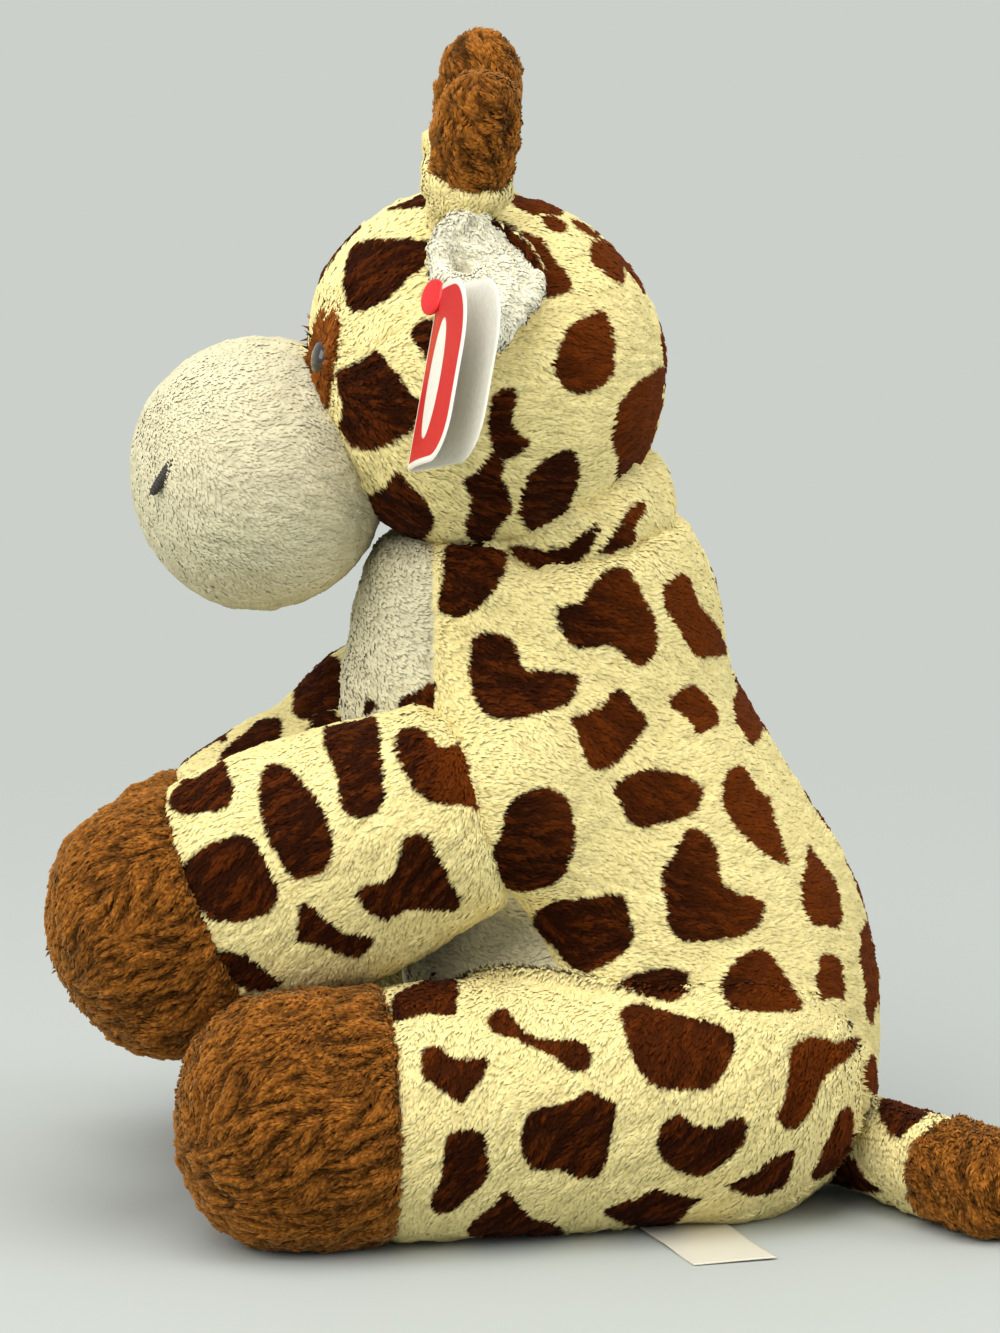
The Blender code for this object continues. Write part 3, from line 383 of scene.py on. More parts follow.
def plush(
    name, base, base_deep, shades=(0.78, 1.08), clump_shades=(0.91, 1.06), sheen=0.02,
    sheen_tint=(1.0, 1.0, 1.0), spotted=False,
):
    """Plush of one colour, or cream with printed spots and a pale panel. The spots are painted
    redder on the tops of clumps and on sides turned to the light.

    shades are the painted shade at a lock's root and in low pile and the painted light at its
    tip; the second pair is the painted shade between clumps and the painted light on them, and
    also spreads each lock's random mottle.
    """
    made, shader, node, link = noded(name)

    def value(key):
        return node("ShaderNodeAttribute", attribute_name=key).outputs["Fac"]

    broad = ranged(node, link, noise_value(node, link, 60.0), 0.35, 0.65)
    fine = noise_value(node, link, 900.0, 3.0)
    colour = mixed(node, link, ranged(node, link, fine, 0.35, 0.72), base, base_deep)
    colour = mixed(node, link, ranged(node, link, broad, 0.0, 1.0, 0.0, 0.22), colour, base_deep)
    if spotted:
        pale = mixed(node, link, ranged(node, link, fine, 0.35, 0.72), PALE, PALE_DEEP)
        colour = mixed(node, link, ranged(node, link, value("panel"), -0.25, 0.25), colour, pale)
        edge = node("ShaderNodeMath", operation="ADD")
        link(value("spot"), edge.inputs[0])
        link(ranged(node, link, fine, 0.2, 0.8, -0.5, 0.5), edge.inputs[1])
        # Painted light on the spots: redder on the tops of clumps as a painted highlight, and
        # redder on sides turned to the light
        painted_red_light = ranged(node, link, value("clump_shade_and_mottle"), 0.45, 1.0, 0.0, 0.40)
        dark = mixed(node, link, painted_red_light, SPOT_DARK, SPOT_LIT_RED)
        painted_red_light = ranged(node, link, value("sun"), 0.0, 1.0, 0.0, 0.75)
        dark = mixed(node, link, painted_red_light, dark, SPOT_LIT_RED)
        colour = mixed(node, link, ranged(node, link, edge.outputs[0], -0.35, 0.35), dark, colour)
    # Painted shade at lock roots and in the skin's low pile, painted light at lock tips
    shade = ranged(node, link, value("painted_pile_shade"), 0.0, 1.0, *shades)
    # Painted shade between clumps and painted light on them, spread by each lock's random mottle
    clump_shade_and_mottle = ranged(node, link, value("clump_shade_and_mottle"), 0.0, 1.0, *clump_shades)
    both = node("ShaderNodeMath", operation="MULTIPLY")
    link(shade, both.inputs[0])
    link(clump_shade_and_mottle, both.inputs[1])
    grey = node("ShaderNodeCombineColor")
    for channel in ("Red", "Green", "Blue"):
        link(both.outputs[0], grey.inputs[channel])
    shaded = mixed(node, link, 1.0, colour, grey.outputs["Color"], "MULTIPLY")
    link(shaded, shader.inputs["Base Color"])
    shader.inputs["Roughness"].default_value = 0.85
    shader.inputs["Specular IOR Level"].default_value = 0.04
    shader.inputs["Sheen Weight"].default_value = sheen
    shader.inputs["Sheen Roughness"].default_value = 0.45
    shader.inputs["Sheen Tint"].default_value = (*sheen_tint, 1.0)
    return made


spotted_plush = plush("spotted_plush", CREAM, CREAM_DEEP, spotted=True)


def slot_of(finish):
    """The record's material slot for a finish."""
    name = finish.name.removesuffix("_finish")
    return {"patch_plush": "brown_plush", "lining_plush": "pale_plush"}.get(name, name)


def signed_distance(points, outline):
    """Distance of flat points from a closed outline, negative inside it."""
    nearest = np.full(len(points), np.inf)
    inside = np.zeros(len(points), bool)
    for a, b in zip(outline, np.roll(outline, -1, axis=0)):
        edge = b - a
        away = points - a
        along = np.clip(away @ edge / max(edge @ edge, 1e-12), 0.0, 1.0)
        nearest = np.minimum(nearest, np.linalg.norm(away - along[:, None] * edge, axis=1))
        crosses = (a[1] > points[:, 1]) != (b[1] > points[:, 1])
        if crosses.any():
            meets = edge[0] * (points[:, 1] - a[1]) / (edge[1] or 1e-12) + a[0]
            inside ^= crosses & (points[:, 0] < meets)
    return np.where(inside, -nearest, nearest)


def rounded(outline, count=4):
    """A closed outline with its corners eased and more points on each side."""
    outline = np.array(outline, float)
    fine = []
    for i in range(len(outline)):
        four = [outline[(i + k) % len(outline)] for k in (-1, 0, 1, 2)]
        fine += [curve(*four, t) for t in np.arange(count) / count]
    return np.array(fine)


def spread(away, east, north):
    """Places about a spot's middle laid flat, each at its true distance from the middle."""
    flat = np.stack((away @ east, away @ north), axis=1)
    return unit(flat) * np.linalg.norm(away, axis=1, keepdims=True)


def tangents(normal):
    """Two unit directions across a normal: east, and north which is as upright as it can be."""
    upright = np.array((0.0, 0.0, 1.0)) if abs(normal[2]) < 0.9 else np.array((0.0, 1.0, 0.0))
    east = unit(np.cross(upright, normal))
    return east, np.cross(normal, east)


def bvh_of(*skins):
    """A search tree over some skins."""
    points, faces, base = [], [], 0
    for skin in skins:
        points += skin[0].tolist()
        faces += [[base + i for i in face if i >= 0] for face in skin[1].tolist()]
        base += len(skin[0])
    return BVHTree.FromPolygons(points, faces)


def seat_on(tree, place):
    """The place on a skin nearest to this one, its normal and two directions across that."""
    centre, normal = (np.array(item) for item in tree.find_nearest(place)[:2])
    return centre, normal, *tangents(normal)


def pixel_way(x, y):
    """The way from the camera to where pixels of the photograph lie on the middle plane."""
    return (
        rightward * ((x - PICTURE_WIDTH / 2) * PIXEL)
        + upward * ((PICTURE_HEIGHT / 2 - y) * PIXEL)
        - toward * CAMERA_DISTANCE
    )


# Where an outline's point misses the skin it is drawn in to one of these shares of its reach
DRAWN_IN = (1.0, 0.96, 0.92, 0.86, 0.8, 0.7, 0.6, 0.45, 0.3, 0.15, 0.0)
LEAST_SHARE = 0.15


def seen_spots(outlines, tree):
    """Spots from outlines read off the photograph, laid on the skin that the camera sees there."""
    spots = []
    for outline in outlines:
        fine = rounded(outline)
        middle = fine.mean(axis=0)
        hits, reach = [], []
        for pixel in fine:
            for share in DRAWN_IN:
                way = pixel_way(*(middle + share * (pixel - middle)))
                hit = tree.ray_cast(camera_spot.tolist(), way.tolist())[0]
                if hit is not None:
                    hits.append(hit[:])
                    reach.append(max(share, LEAST_SHARE))
                    break
        if len(hits) < len(fine):
            continue
        hits = np.array(hits)
        centre, normal, east, north = seat_on(tree, hits.mean(axis=0).tolist())
        flat = spread(hits - centre, east, north) / np.array(reach)[:, None]
        spots.append((centre, normal, east, north, flat))
    return spots


MIRROR_SIZE = 0.97


def mirrored_spots(spots):
    """The spots of the other side: like ones, each turned half round."""
    flip = np.array((-1.0, 1.0, 1.0))
    return [(*(part * flip for part in spot[:4]), -spot[4] * MIRROR_SIZE) for spot in spots]


# Outlines of the listed spots, within -1 to 1 each way
BLOBS = (
    ((-1.0, 0.1), (-0.6, 0.8), (0.1, 1.0), (0.8, 0.6), (1.0, -0.2), (0.5, -0.9), (-0.3, -1.0),
     (-0.8, -0.6)),
    ((-0.9, -0.2), (-0.9, 0.7), (-0.2, 1.0), (0.1, 0.3), (0.9, 0.2), (1.0, -0.5), (0.2, -0.9),
     (-0.7, -0.8)),
    ((-0.5, -1.0), (-0.8, 0.0), (-0.4, 0.9), (0.2, 1.0), (0.7, 0.2), (0.6, -0.7), (0.1, -1.0)),
    ((-1.0, -0.5), (-0.2, 0.1), (0.1, 1.0), (0.6, 0.8), (0.8, 0.0), (1.0, -0.7), (0.3, -1.0),
     (-0.5, -0.9)),
    ((-1.0, 0.6), (-0.3, 0.3), (0.4, 0.5), (1.0, 0.9), (0.9, -0.2), (0.3, -0.8), (-0.4, -0.9),
     (-0.9, -0.3)),
)


def set_spots(rows, tree):
    """Spots set one by one where the photograph shows none.

    Rows are place, half width, half height, turn in degrees and blob.
    """
    spots = []
    for place, half_width, half_height, turn, blob in rows:
        centre, normal, east, north = seat_on(tree, place)
        outline = rounded(BLOBS[blob]) * (half_width, half_height)
        angle = math.radians(turn)
        swing = np.array(((math.cos(angle), math.sin(angle)), (-math.sin(angle), math.cos(angle))))
        spots.append((centre, normal, east, north, outline @ swing))
    return spots


SPOT_FAR = 9.0
SPOT_TURN = -0.35
SPOT_MARGIN = 3.0


def spot_field(points, normals, spots):
    """Distance in mm from each point to the edge of the nearest spot, negative inside one."""
    field = np.full(len(points), SPOT_FAR)
    for centre, normal, east, north, outline in spots:
        away = points - centre
        reach = np.linalg.norm(outline, axis=1).max() + SPOT_MARGIN
        near = (np.linalg.norm(away, axis=1) < reach) & (normals @ normal > SPOT_TURN)
        near = np.flatnonzero(near)
        if len(near):
            flat = spread(away[near], east, north)
            field[near] = np.minimum(field[near], signed_distance(flat, outline))
    return field


PLUSH_MAKES = {
    # height of stuffing lumps, clumps and streaks, streak width and reach, curl and its width,
    # locks per mm2, their length and width
    "cream": (0.45, 0.20, 0.30, 0.85, 4.5, 0.45, 11.0, 1.8, 2.3, 0.80),
    "brown": (0.45, 0.20, 0.78, 0.70, 3.6, 0.80, 6.0, 2.3, 1.9, 0.62),
    "pale": (0.35, 0.20, 0.18, 0.95, 3.4, 0.60, 7.0, 2.3, 1.9, 0.75),
    "curly": (0.15, 0.25, 0.35, 1.00, 2.6, 1.30, 3.5, 2.4, 1.8, 0.70),
    "knob": (0.20, 0.25, 0.50, 0.90, 2.6, 1.40, 4.0, 2.4, 1.9, 0.75),
    "lining": (0.10, 0.20, 0.26, 1.00, 2.2, 1.50, 4.0, 2.8, 1.3, 0.70),
    "fringe": (0.05, 0.15, 0.25, 0.80, 3.0, 0.25, 5.0, 2.6, 3.4, 0.70),
}
STUFFING_WIDTH = 15.0
CLUMP_WIDTH = 2.9
# Spots on sides turned this way are painted redder, as if lit
SUN_WAY = (0.0, 0.88, 0.40)
SKIN_REST = (0.9, 0.25)
TINT_SCATTER = 0.10
VEER = 0.45
VEER_WIDTH = 3.1
VEER_SCATTER = 0.11
LOCK_LENGTHS = (0.7, 1.25)
LOCK_WIDTHS = (0.75, 1.2)
LOCK_LIFTS = (0.25, 0.75)
LOCK_MIDDLE = 0.42
LOCK_FLOOR = 0.12
# A lock is five points: its root, two sides, a ridge and a tip
LOCK_FACES = ((0, 3, 1), (0, 2, 3), (0, 1, 2), (4, 1, 3), (4, 3, 2), (4, 2, 1))
# Painted shade along a lock: darkest at its root, lightest at its tip
LOCK_PAINTED_SHADES = (0.15, 0.60, 0.60, 0.78, 1.0)
LOCK_MAP = ((0.0, 0.0), (0.5, 0.42), (-0.5, 0.42), (0.0, 0.3), (0.0, 1.0))
LOCKS_A_PIECE = 33000
SPOT_FOLLOW = 0.55


def plush_piece(
    name, skin, finish, make, comb, ride, seed, spots=(), panel=None, covered=None, relief=None
):
    """One stuffed skin and its pile.

    comb gives the lie of the pile, covered tells where another piece hides it, and relief what
    stands out or is sunk.
    """
    points, faces, chart = skin
    lumps, clumps, high, width, reach, curl, curl_width, per_mm2, length, wide = PLUSH_MAKES[make]
    normals = normals_of(points, faces)
    swirl = noise(points, curl_width, seed + 5)[:, None]
    way = flattened(comb(points), normals)
    side = np.cross(normals, way)
    way = unit(way + curl * swirl * side)
    pile = streaks(points, way, width, reach, seed + 1)
    lump = noise(points, CLUMP_WIDTH, seed + 2)
    raised = lumps * noise(points, STUFFING_WIDTH, seed + 3) + clumps * lump + high * pile
    if relief is not None:
        raised = raised + relief(points)
    spot = spot_field(points, normals, spots)
    area = panel(points) if panel is not None else np.full(len(points), -SPOT_FAR)
    # Painted light: how far each point turns to the way in which spots are painted redder
    sun = smooth_step(normals @ SUN_WAY, 0.22, 0.85)
    formed = points + normals * raised[:, None]
    formed[:, 2] = rested(formed[:, 2], *SKIN_REST)
    # Painted shade in the skin's pile: darker where the streaks and clumps sink, lighter where
    # they stand
    painted_pile_shade = np.clip(0.42 + 0.30 * pile + 0.15 * lump, 0.0, 0.85)
    # Painted shade between clumps and painted light on them: low streaks darker, raised ones
    # lighter
    clump_shade = np.clip(0.5 + 0.80 * pile, 0.0, 1.0)
    values = {"spot": spot, "panel": area, "sun": sun, "painted_pile_shade": painted_pile_shade, "clump_shade_and_mottle": clump_shade}
    things = [made_object(name, formed, faces, chart, finish, values)]
    normals = normals_of(formed, faces)

    chance = np.random.default_rng(seed)
    four = faces[:, 3] >= 0
    first = np.arange(len(faces))
    second = np.flatnonzero(four)
    triangles = np.vstack((faces[:, :3], faces[four][:, [0, 2, 3]]))
    maps = np.concatenate((chart[:, :3], chart[four][:, [0, 2, 3]]))
    owner = np.concatenate((first, second))
    a, b, c = (formed[triangles[:, i]] for i in range(3))
    areas = np.linalg.norm(np.cross(b - a, c - a), axis=1) / 2
    if covered is not None:
        areas = areas * ~covered((a + b + c) / 3)
    order = np.argsort(owner, kind="stable")
    climb = np.cumsum(areas[order])
    count = int(climb[-1] * per_mm2)
    picks = (np.arange(count) + chance.random(count)) / count * climb[-1] * 0.999999
    drawn = order[np.searchsorted(climb, picks)]
    chance.shuffle(drawn)
    share = chance.random((count, 2))
    over = share.sum(axis=1) > 1
    share[over] = 1 - share[over]
    weight = np.column_stack((1 - share.sum(axis=1), share))[:, :, None]
    corner = triangles[drawn]
    root = (formed[corner] * weight).sum(axis=1)
    normal = unit((normals[corner] * weight).sum(axis=1))
    spot_at, area_at, sun_at, clump_shade_and_mottle_at = (
        (numbers[corner] * weight[..., 0]).sum(axis=1) for numbers in (spot, area, sun, clump_shade)
    )
    # Each lock adds its own random mottle to the painted shade between clumps
    clump_shade_and_mottle_at = np.clip(clump_shade_and_mottle_at + TINT_SCATTER * chance.standard_normal(count), 0.0, 1.0)
    map_at = (maps[drawn] * weight).sum(axis=1)
    lie = flattened((way[corner] * weight).sum(axis=1), normal)
    side = np.cross(normal, lie)
    veer = VEER * noise(root, VEER_WIDTH, seed + 7) + VEER_SCATTER * chance.standard_normal(count)
    lie = unit(lie + side * veer[:, None])
    side = np.cross(normal, lie)
    long = (length * chance.uniform(*LOCK_LENGTHS, count))[:, None]
    broad = (wide * chance.uniform(*LOCK_WIDTHS, count))[:, None] / 2
    lift = chance.uniform(*LOCK_LIFTS, count)[:, None]
    middle = root + lie * long * LOCK_MIDDLE + normal * (0.14 + 0.22 * lift)
    tip = root + lie * long + normal * (0.05 + 0.50 * lift)
    locks = np.stack(
        (
            root - normal * 0.35,
            middle + side * broad - normal * 0.12,
            middle - side * broad - normal * 0.12,
            middle + normal * 0.26,
            tip,
        ),
        axis=1,
    )
    locks[..., 2] = np.maximum(locks[..., 2], LOCK_FLOOR)
    corners = formed[corner]
    face_normal = np.cross(corners[:, 1] - corners[:, 0], corners[:, 2] - corners[:, 0])
    slope = sum(
        spot[corner[:, i], None] * np.cross(face_normal, corners[:, i - 1] - corners[:, i - 2])
        for i in range(3)
    ) / np.maximum((face_normal**2).sum(axis=1, keepdims=True), 1e-9)
    slope /= np.maximum(np.linalg.norm(slope, axis=1, keepdims=True), 1.0)
    change = ((locks - root[:, None]) * slope[:, None]).sum(axis=2)
    spot_here = spot_at[:, None] + SPOT_FOLLOW * change
    soft = np.stack(
        (
            normal,
            unit(normal + 0.55 * side),
            unit(normal - 0.55 * side),
            normal,
            unit(normal + 0.45 * lie),
        ),
        axis=1,
    )
    lock_faces = np.array(LOCK_FACES)
    a, b, c = (locks[0][lock_faces[:, i]] - locks[0][0] for i in range(3))
    if (a * np.cross(b, c)).sum() < 0:
        lock_faces = lock_faces[:, ::-1]
    scale = 1.0 / np.ptp(formed, axis=0).max() / 3.0
    offsets = np.array(LOCK_MAP) * (wide, length)
    lock_maps = np.clip(map_at[:, None] * 0.97 + offsets * scale, 0.0, 1.0)
    parts = max(1, math.ceil(count / LOCKS_A_PIECE))
    for part in range(parts):
        cut = slice(part * count // parts, (part + 1) * count // parts)
        held = cut.stop - cut.start
        base = 5 * np.arange(held)[:, None, None]
        corners = (base + lock_faces).reshape(-1, 3)
        faces_now = np.column_stack((corners, np.full(len(corners), -1)))
        maps_now = lock_maps[cut].reshape(-1, 2)[corners]
        maps_now = np.concatenate((maps_now, maps_now[:, :1]), axis=1)
        values = {
            "spot": spot_here[cut].ravel(),
            "panel": np.repeat(area_at[cut], 5),
            "sun": np.repeat(sun_at[cut], 5),
            "painted_pile_shade": np.tile(LOCK_PAINTED_SHADES, held),
            "clump_shade_and_mottle": np.repeat(clump_shade_and_mottle_at[cut], 5),
        }
        label = name + "_pile" + (str(part + 1) if parts > 1 else "")
        places, bends = locks[cut].reshape(-1, 3), soft[cut].reshape(-1, 3)
        things.append(made_object(label, places, faces_now, maps_now, finish, values, bends))
    for thing in things:
        ride(thing)
    return things


def riding(body):
    """A step that makes a piece move with this body."""
    return lambda thing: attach(thing, body)


# Torso
# A pear of spotted plush with an off-white chest and belly panel, stuffed firm, with a bag of
# pellets in the seat. It sits flat, and at its top it rolls in under the neck.
# Rows are height, front, back and half width.
TORSO_ROWS = (
    (0.3, -4.0, 0.0, 2.0),
    (0.3, -26.0, 22.0, 27.0),
    (0.6, -33.0, 27.5, 33.5),
    (2.4, -40.0, 32.4, 39.5),
    (6.0, -45.5, 36.4, 43.2),
    (14.0, -51.0, 41.0, 47.0),
    (29.0, -54.5, 43.3, 49.3),
    (48.0, -56.4, 42.3, 48.0),
    (67.0, -60.3, 36.8, 44.4),
    (88.5, -66.2, 24.0, 40.3),
    (105.5, -68.8, 14.0, 37.2),
    (120.0, -66.2, 8.0, 34.4),
    (128.0, -63.2, 4.6, 32.8),
    (132.0, -60.5, 2.0, 31.0),
    (134.2, -56.5, -1.5, 27.6),
    (135.0, -50.0, -8.0, 22.0),
    (135.2, -42.0, -15.0, 14.0),
    (135.3, -31.0, -27.0, 2.0),
)
TORSO_TURNS = 400
TORSO_SIDE = (0.9, 134.8)
TORSO_TOP = 135.6
TOP_SHARE = (108.0, 134.0)
TOP_DIP = -28.0
TOP_BACK_SLOPE = 0.30
TOP_CHEST_RISE = 4.6
REAR_PIVOT = np.array((36.0, -5.0, 26.2))
REAR_SPREAD = math.radians(15.5)
FRONT_PIVOT = np.array((33.5, -42.0, 88.6))
FRONT_SPREAD = math.radians(-3.0)
FRONT_DROOP = {1: math.radians(23.5), -1: math.radians(31.0)}
SHOULDER = np.array((31.0, -34.0, 88.6))
SHOULDER_AXES = np.array((21.0, 16.0, 21.0))
SHOULDER_BLEND = 14.0
HEAD_CENTRE = np.array((0.0, -39.0, 172.5))
HEAD_AXES = np.array((40.7, 36.9, 36.9))
# Rows of the panel's edge: height, and how far back it reaches
PANEL_EDGE = (
    (-15.0, -40.0), (4.0, -30.0), (14.0, -22.0), (24.0, -15.0), (46.5, -19.0), (63.0, -30.0),
    (90.0, -45.0), (108.0, -50.7), (160.0, -50.0),
)
# Rows of a leg along its axis from the pivot: place and radius
REAR_ROWS = (
    (-43.0, 0.5), (-41.5, 7.0), (-37.0, 13.5), (-28.0, 20.0), (-15.0, 24.6), (0.0, 26.0),
    (20.0, 26.3), (40.0, 26.3), (52.0, 26.2), (56.0, 25.6), (57.1, 23.0), (57.5, 14.0),
    (57.5, 0.5),
)
FRONT_ROWS = (
    (-8.0, 0.5), (-6.0, 10.0), (-3.0, 17.0), (0.0, 20.5), (3.0, 22.2), (11.0, 23.4), (23.0, 25.6),
    (37.0, 26.9), (49.0, 26.9), (55.0, 26.2), (57.0, 24.0), (57.6, 14.0), (57.6, 0.5),
)
LEG_REST = (1.5, 0.3)
HIP_BLEND = 15.0
CREASE_BLEND = 3.0
HIP_STEPS = 4
SHOULDER_STEPS = 9
MOST_STEP = 3.0
SIDE_HOLLOW = np.array((-39.0, 60.5))
SIDE_HOLLOW_HALVES = np.array((16.0, 8.5))
SIDE_HOLLOW_DEPTH = 12.5
SIDE_HOLLOW_FROM = 12.0


def leg_frame(pivot, forward, side):
    """A leg's pivot and its axes: forward, across and up."""
    forward = unit(np.array(forward))
    across = unit(np.cross(forward, (0.0, 0.0, 1.0)))
    return pivot * (side, 1.0, 1.0), forward, across, np.cross(across, forward)


rear_frames, front_frames = {}, {}
for side in (1, -1):
    rear_way = (side * math.sin(REAR_SPREAD), -math.cos(REAR_SPREAD), 0.0)
    rear_frames[side] = leg_frame(REAR_PIVOT, rear_way, side)
    droop = FRONT_DROOP[side]
    front_way = (
        side * math.sin(FRONT_SPREAD) * math.cos(droop),
        -math.cos(FRONT_SPREAD) * math.cos(droop),
        -math.sin(droop),
    )
    front_frames[side] = leg_frame(FRONT_PIVOT, front_way, side)


def leg_gap(points, leg, rows):
    """Rough distance of points from a leg's skin, negative inside it."""
    pivot, forward = leg[:2]
    along = (points - pivot) @ forward
    reach = np.linalg.norm(points - pivot - along[:, None] * forward, axis=1)
    rows = np.array(rows)
    beyond = np.maximum(rows[0, 0] - along, along - rows[-1, 0])
    return np.maximum(reach - np.interp(along, rows[:, 0], rows[:, 1]), beyond)


def ball_gap(points, centre, axes):
    """Rough distance of points from an egg's skin, negative inside it."""
    away = (points - centre) / axes
    far = np.maximum(np.linalg.norm(away, axis=1), 1e-6)
    return (far - 1.0) * far / np.linalg.norm(away / axes, axis=1)


def top_rise(depth):
    """The rise of the torso's top edge at these depths: over the chest and up to the back."""
    past = depth - TOP_DIP
    return TOP_BACK_SLOPE * np.maximum(past, 0.0) + TOP_CHEST_RISE * smooth_step(-past, 0.0, 12.0)


torso_rows = eased(TORSO_ROWS, SPACING)
low, high = TORSO_SIDE
torso_side = torso_rows[(torso_rows[:, 0] > low) & (torso_rows[:, 0] < high)]


def torso_gap(points):
    """Rough distance of points from the torso's skin, negative inside it."""
    high = points[:, 2] - top_rise(points[:, 1]) * smooth_step(points[:, 2], *TOP_SHARE)
    front, back, half = (np.interp(high, torso_side[:, 0], torso_side[:, i]) for i in (1, 2, 3))
    deep = (back - front) / 2
    middle = (back + front) / 2
    x, y = points[:, 0] / half, (points[:, 1] - middle) / deep
    far = np.maximum(np.hypot(x, y), 1e-6)
    gap = (far - 1.0) * far / np.maximum(np.hypot(x / half, y / deep), 1e-9)
    return np.maximum(gap, high - TORSO_TOP)


def joined(first, second, soft):
    """Two distances joined into one with a fillet."""
    near = np.maximum(soft - np.abs(first - second), 0.0) / soft
    return np.minimum(first, second) - near * near * soft / 4


def hip_soft(points, side):
    """The width of the fillet between torso and thigh: a crease in front, a smooth run behind."""
    pivot, forward = rear_frames[side][:2]
    along = (points - pivot) @ forward
    return CREASE_BLEND + (HIP_BLEND - CREASE_BLEND) * smooth_step(-along, -2.0, 22.0)


def hip_step(joint, other, points):
    """How far points move out to the fillet at a hip, by their distance from the other skin."""
    return np.clip(-joint, 0.0, MOST_STEP) * smooth_step(other, -3.0, 0.5) * (points[:, 2] > 1.0)


def pear_rings(rows, count):
    """Level rings of points through rows of height, front, back and half width."""
    turns = 2 * math.pi * np.arange(count) / count
    high, front, back, half = (rows[:, i : i + 1] for i in range(4))
    rings = np.empty((len(rows), count, 3))
    rings[..., 0] = half * np.sin(turns)
    rings[..., 1] = (back + front) / 2 - (back - front) / 2 * np.cos(turns)
    rings[..., 2] = high
    return rings


torso_rings = pear_rings(torso_rows, TORSO_TURNS)
top_share = smooth_step(torso_rings[..., 2], *TOP_SHARE)
torso_rings[..., 2] += top_share * top_rise(torso_rings[..., 1])
torso_points, torso_faces, torso_chart = ringed(torso_rings)
torso_normals = normals_of(torso_points, torso_faces)
for side in (1, -1):
    for _ in range(HIP_STEPS):
        hip = leg_gap(torso_points, rear_frames[side], REAR_ROWS)
        joint = joined(torso_gap(torso_points), hip, hip_soft(torso_points, side))
        step = hip_step(joint, hip, torso_points) * (hip < HIP_BLEND)
        torso_points = torso_points + torso_normals * step[:, None]
    for _ in range(SHOULDER_STEPS):
        shoulder = ball_gap(torso_points, SHOULDER * (side, 1.0, 1.0), SHOULDER_AXES)
        joint = joined(torso_gap(torso_points), shoulder, SHOULDER_BLEND)
        step = np.clip(-joint, 0.0, MOST_STEP)
        torso_points = torso_points + torso_normals * step[:, None]
away = (torso_points[:, 1:] - SIDE_HOLLOW) / SIDE_HOLLOW_HALVES
sunk = SIDE_HOLLOW_DEPTH * np.exp(-(away * away).sum(axis=1))
sunk = sunk * (np.abs(torso_points[:, 0]) > SIDE_HOLLOW_FROM)
torso_points = torso_points - torso_normals * sunk[:, None]
torso_skin = (torso_points, torso_faces, torso_chart)


def tube(foot, forward, across, up, rows, count):
    """A closed skin round an axis from its foot, through rows of place and radius."""
    turns = 2 * math.pi * np.arange(count) / count
    return ringed(
        foot
        + forward * rows[:, 0, None, None]
        + across * (rows[:, 1, None] * np.cos(turns))[..., None]
        + up * (rows[:, 1, None] * np.sin(turns))[..., None]
    )


def leg_skin(leg, rows, fit=None):
    """A leg's closed skin from its rows, flat where it rests."""
    rows = eased(rows, SPACING)
    count = int(2 * math.pi * rows[:, 1].max() / SPACING)
    points, faces, chart = tube(*leg, rows, count)
    if fit is not None:
        points = fit(points, faces)
    points[:, 2] = rested(points[:, 2], *LEG_REST)
    return points, faces, chart


REAR_SEAM_TURN = 0.11


def outward_of(leg, side):
    """The direction across a leg that points away from the toy's middle."""
    across = leg[2]
    return across if across[0] * side > 0 else -across


def seam_turned(points, leg, side):
    """A leg's points with its hoof seam turned a little: further out on the outer side."""
    pivot, forward = leg[:2]
    share = plateau((points - pivot) @ forward, (36.0, 52.0), (64.0, 84.0))
    out = (points - pivot) @ outward_of(leg, side)
    return points + forward * (out * REAR_SEAM_TURN * share)[:, None]


def hip_fit(side):
    """A step that runs a thigh's skin smoothly into the torso's."""

    def fit(points, faces):
        normals = normals_of(points, faces)
        for _ in range(HIP_STEPS):
            body = torso_gap(points)
            thigh = leg_gap(points, rear_frames[side], REAR_ROWS)
            joint = joined(body, thigh, hip_soft(points, side))
            points = points + normals * hip_step(joint, body, points)[:, None]
        return seam_turned(points, rear_frames[side], side)

    return fit


thigh_skins = {side: leg_skin(rear_frames[side], REAR_ROWS, hip_fit(side)) for side in (1, -1)}

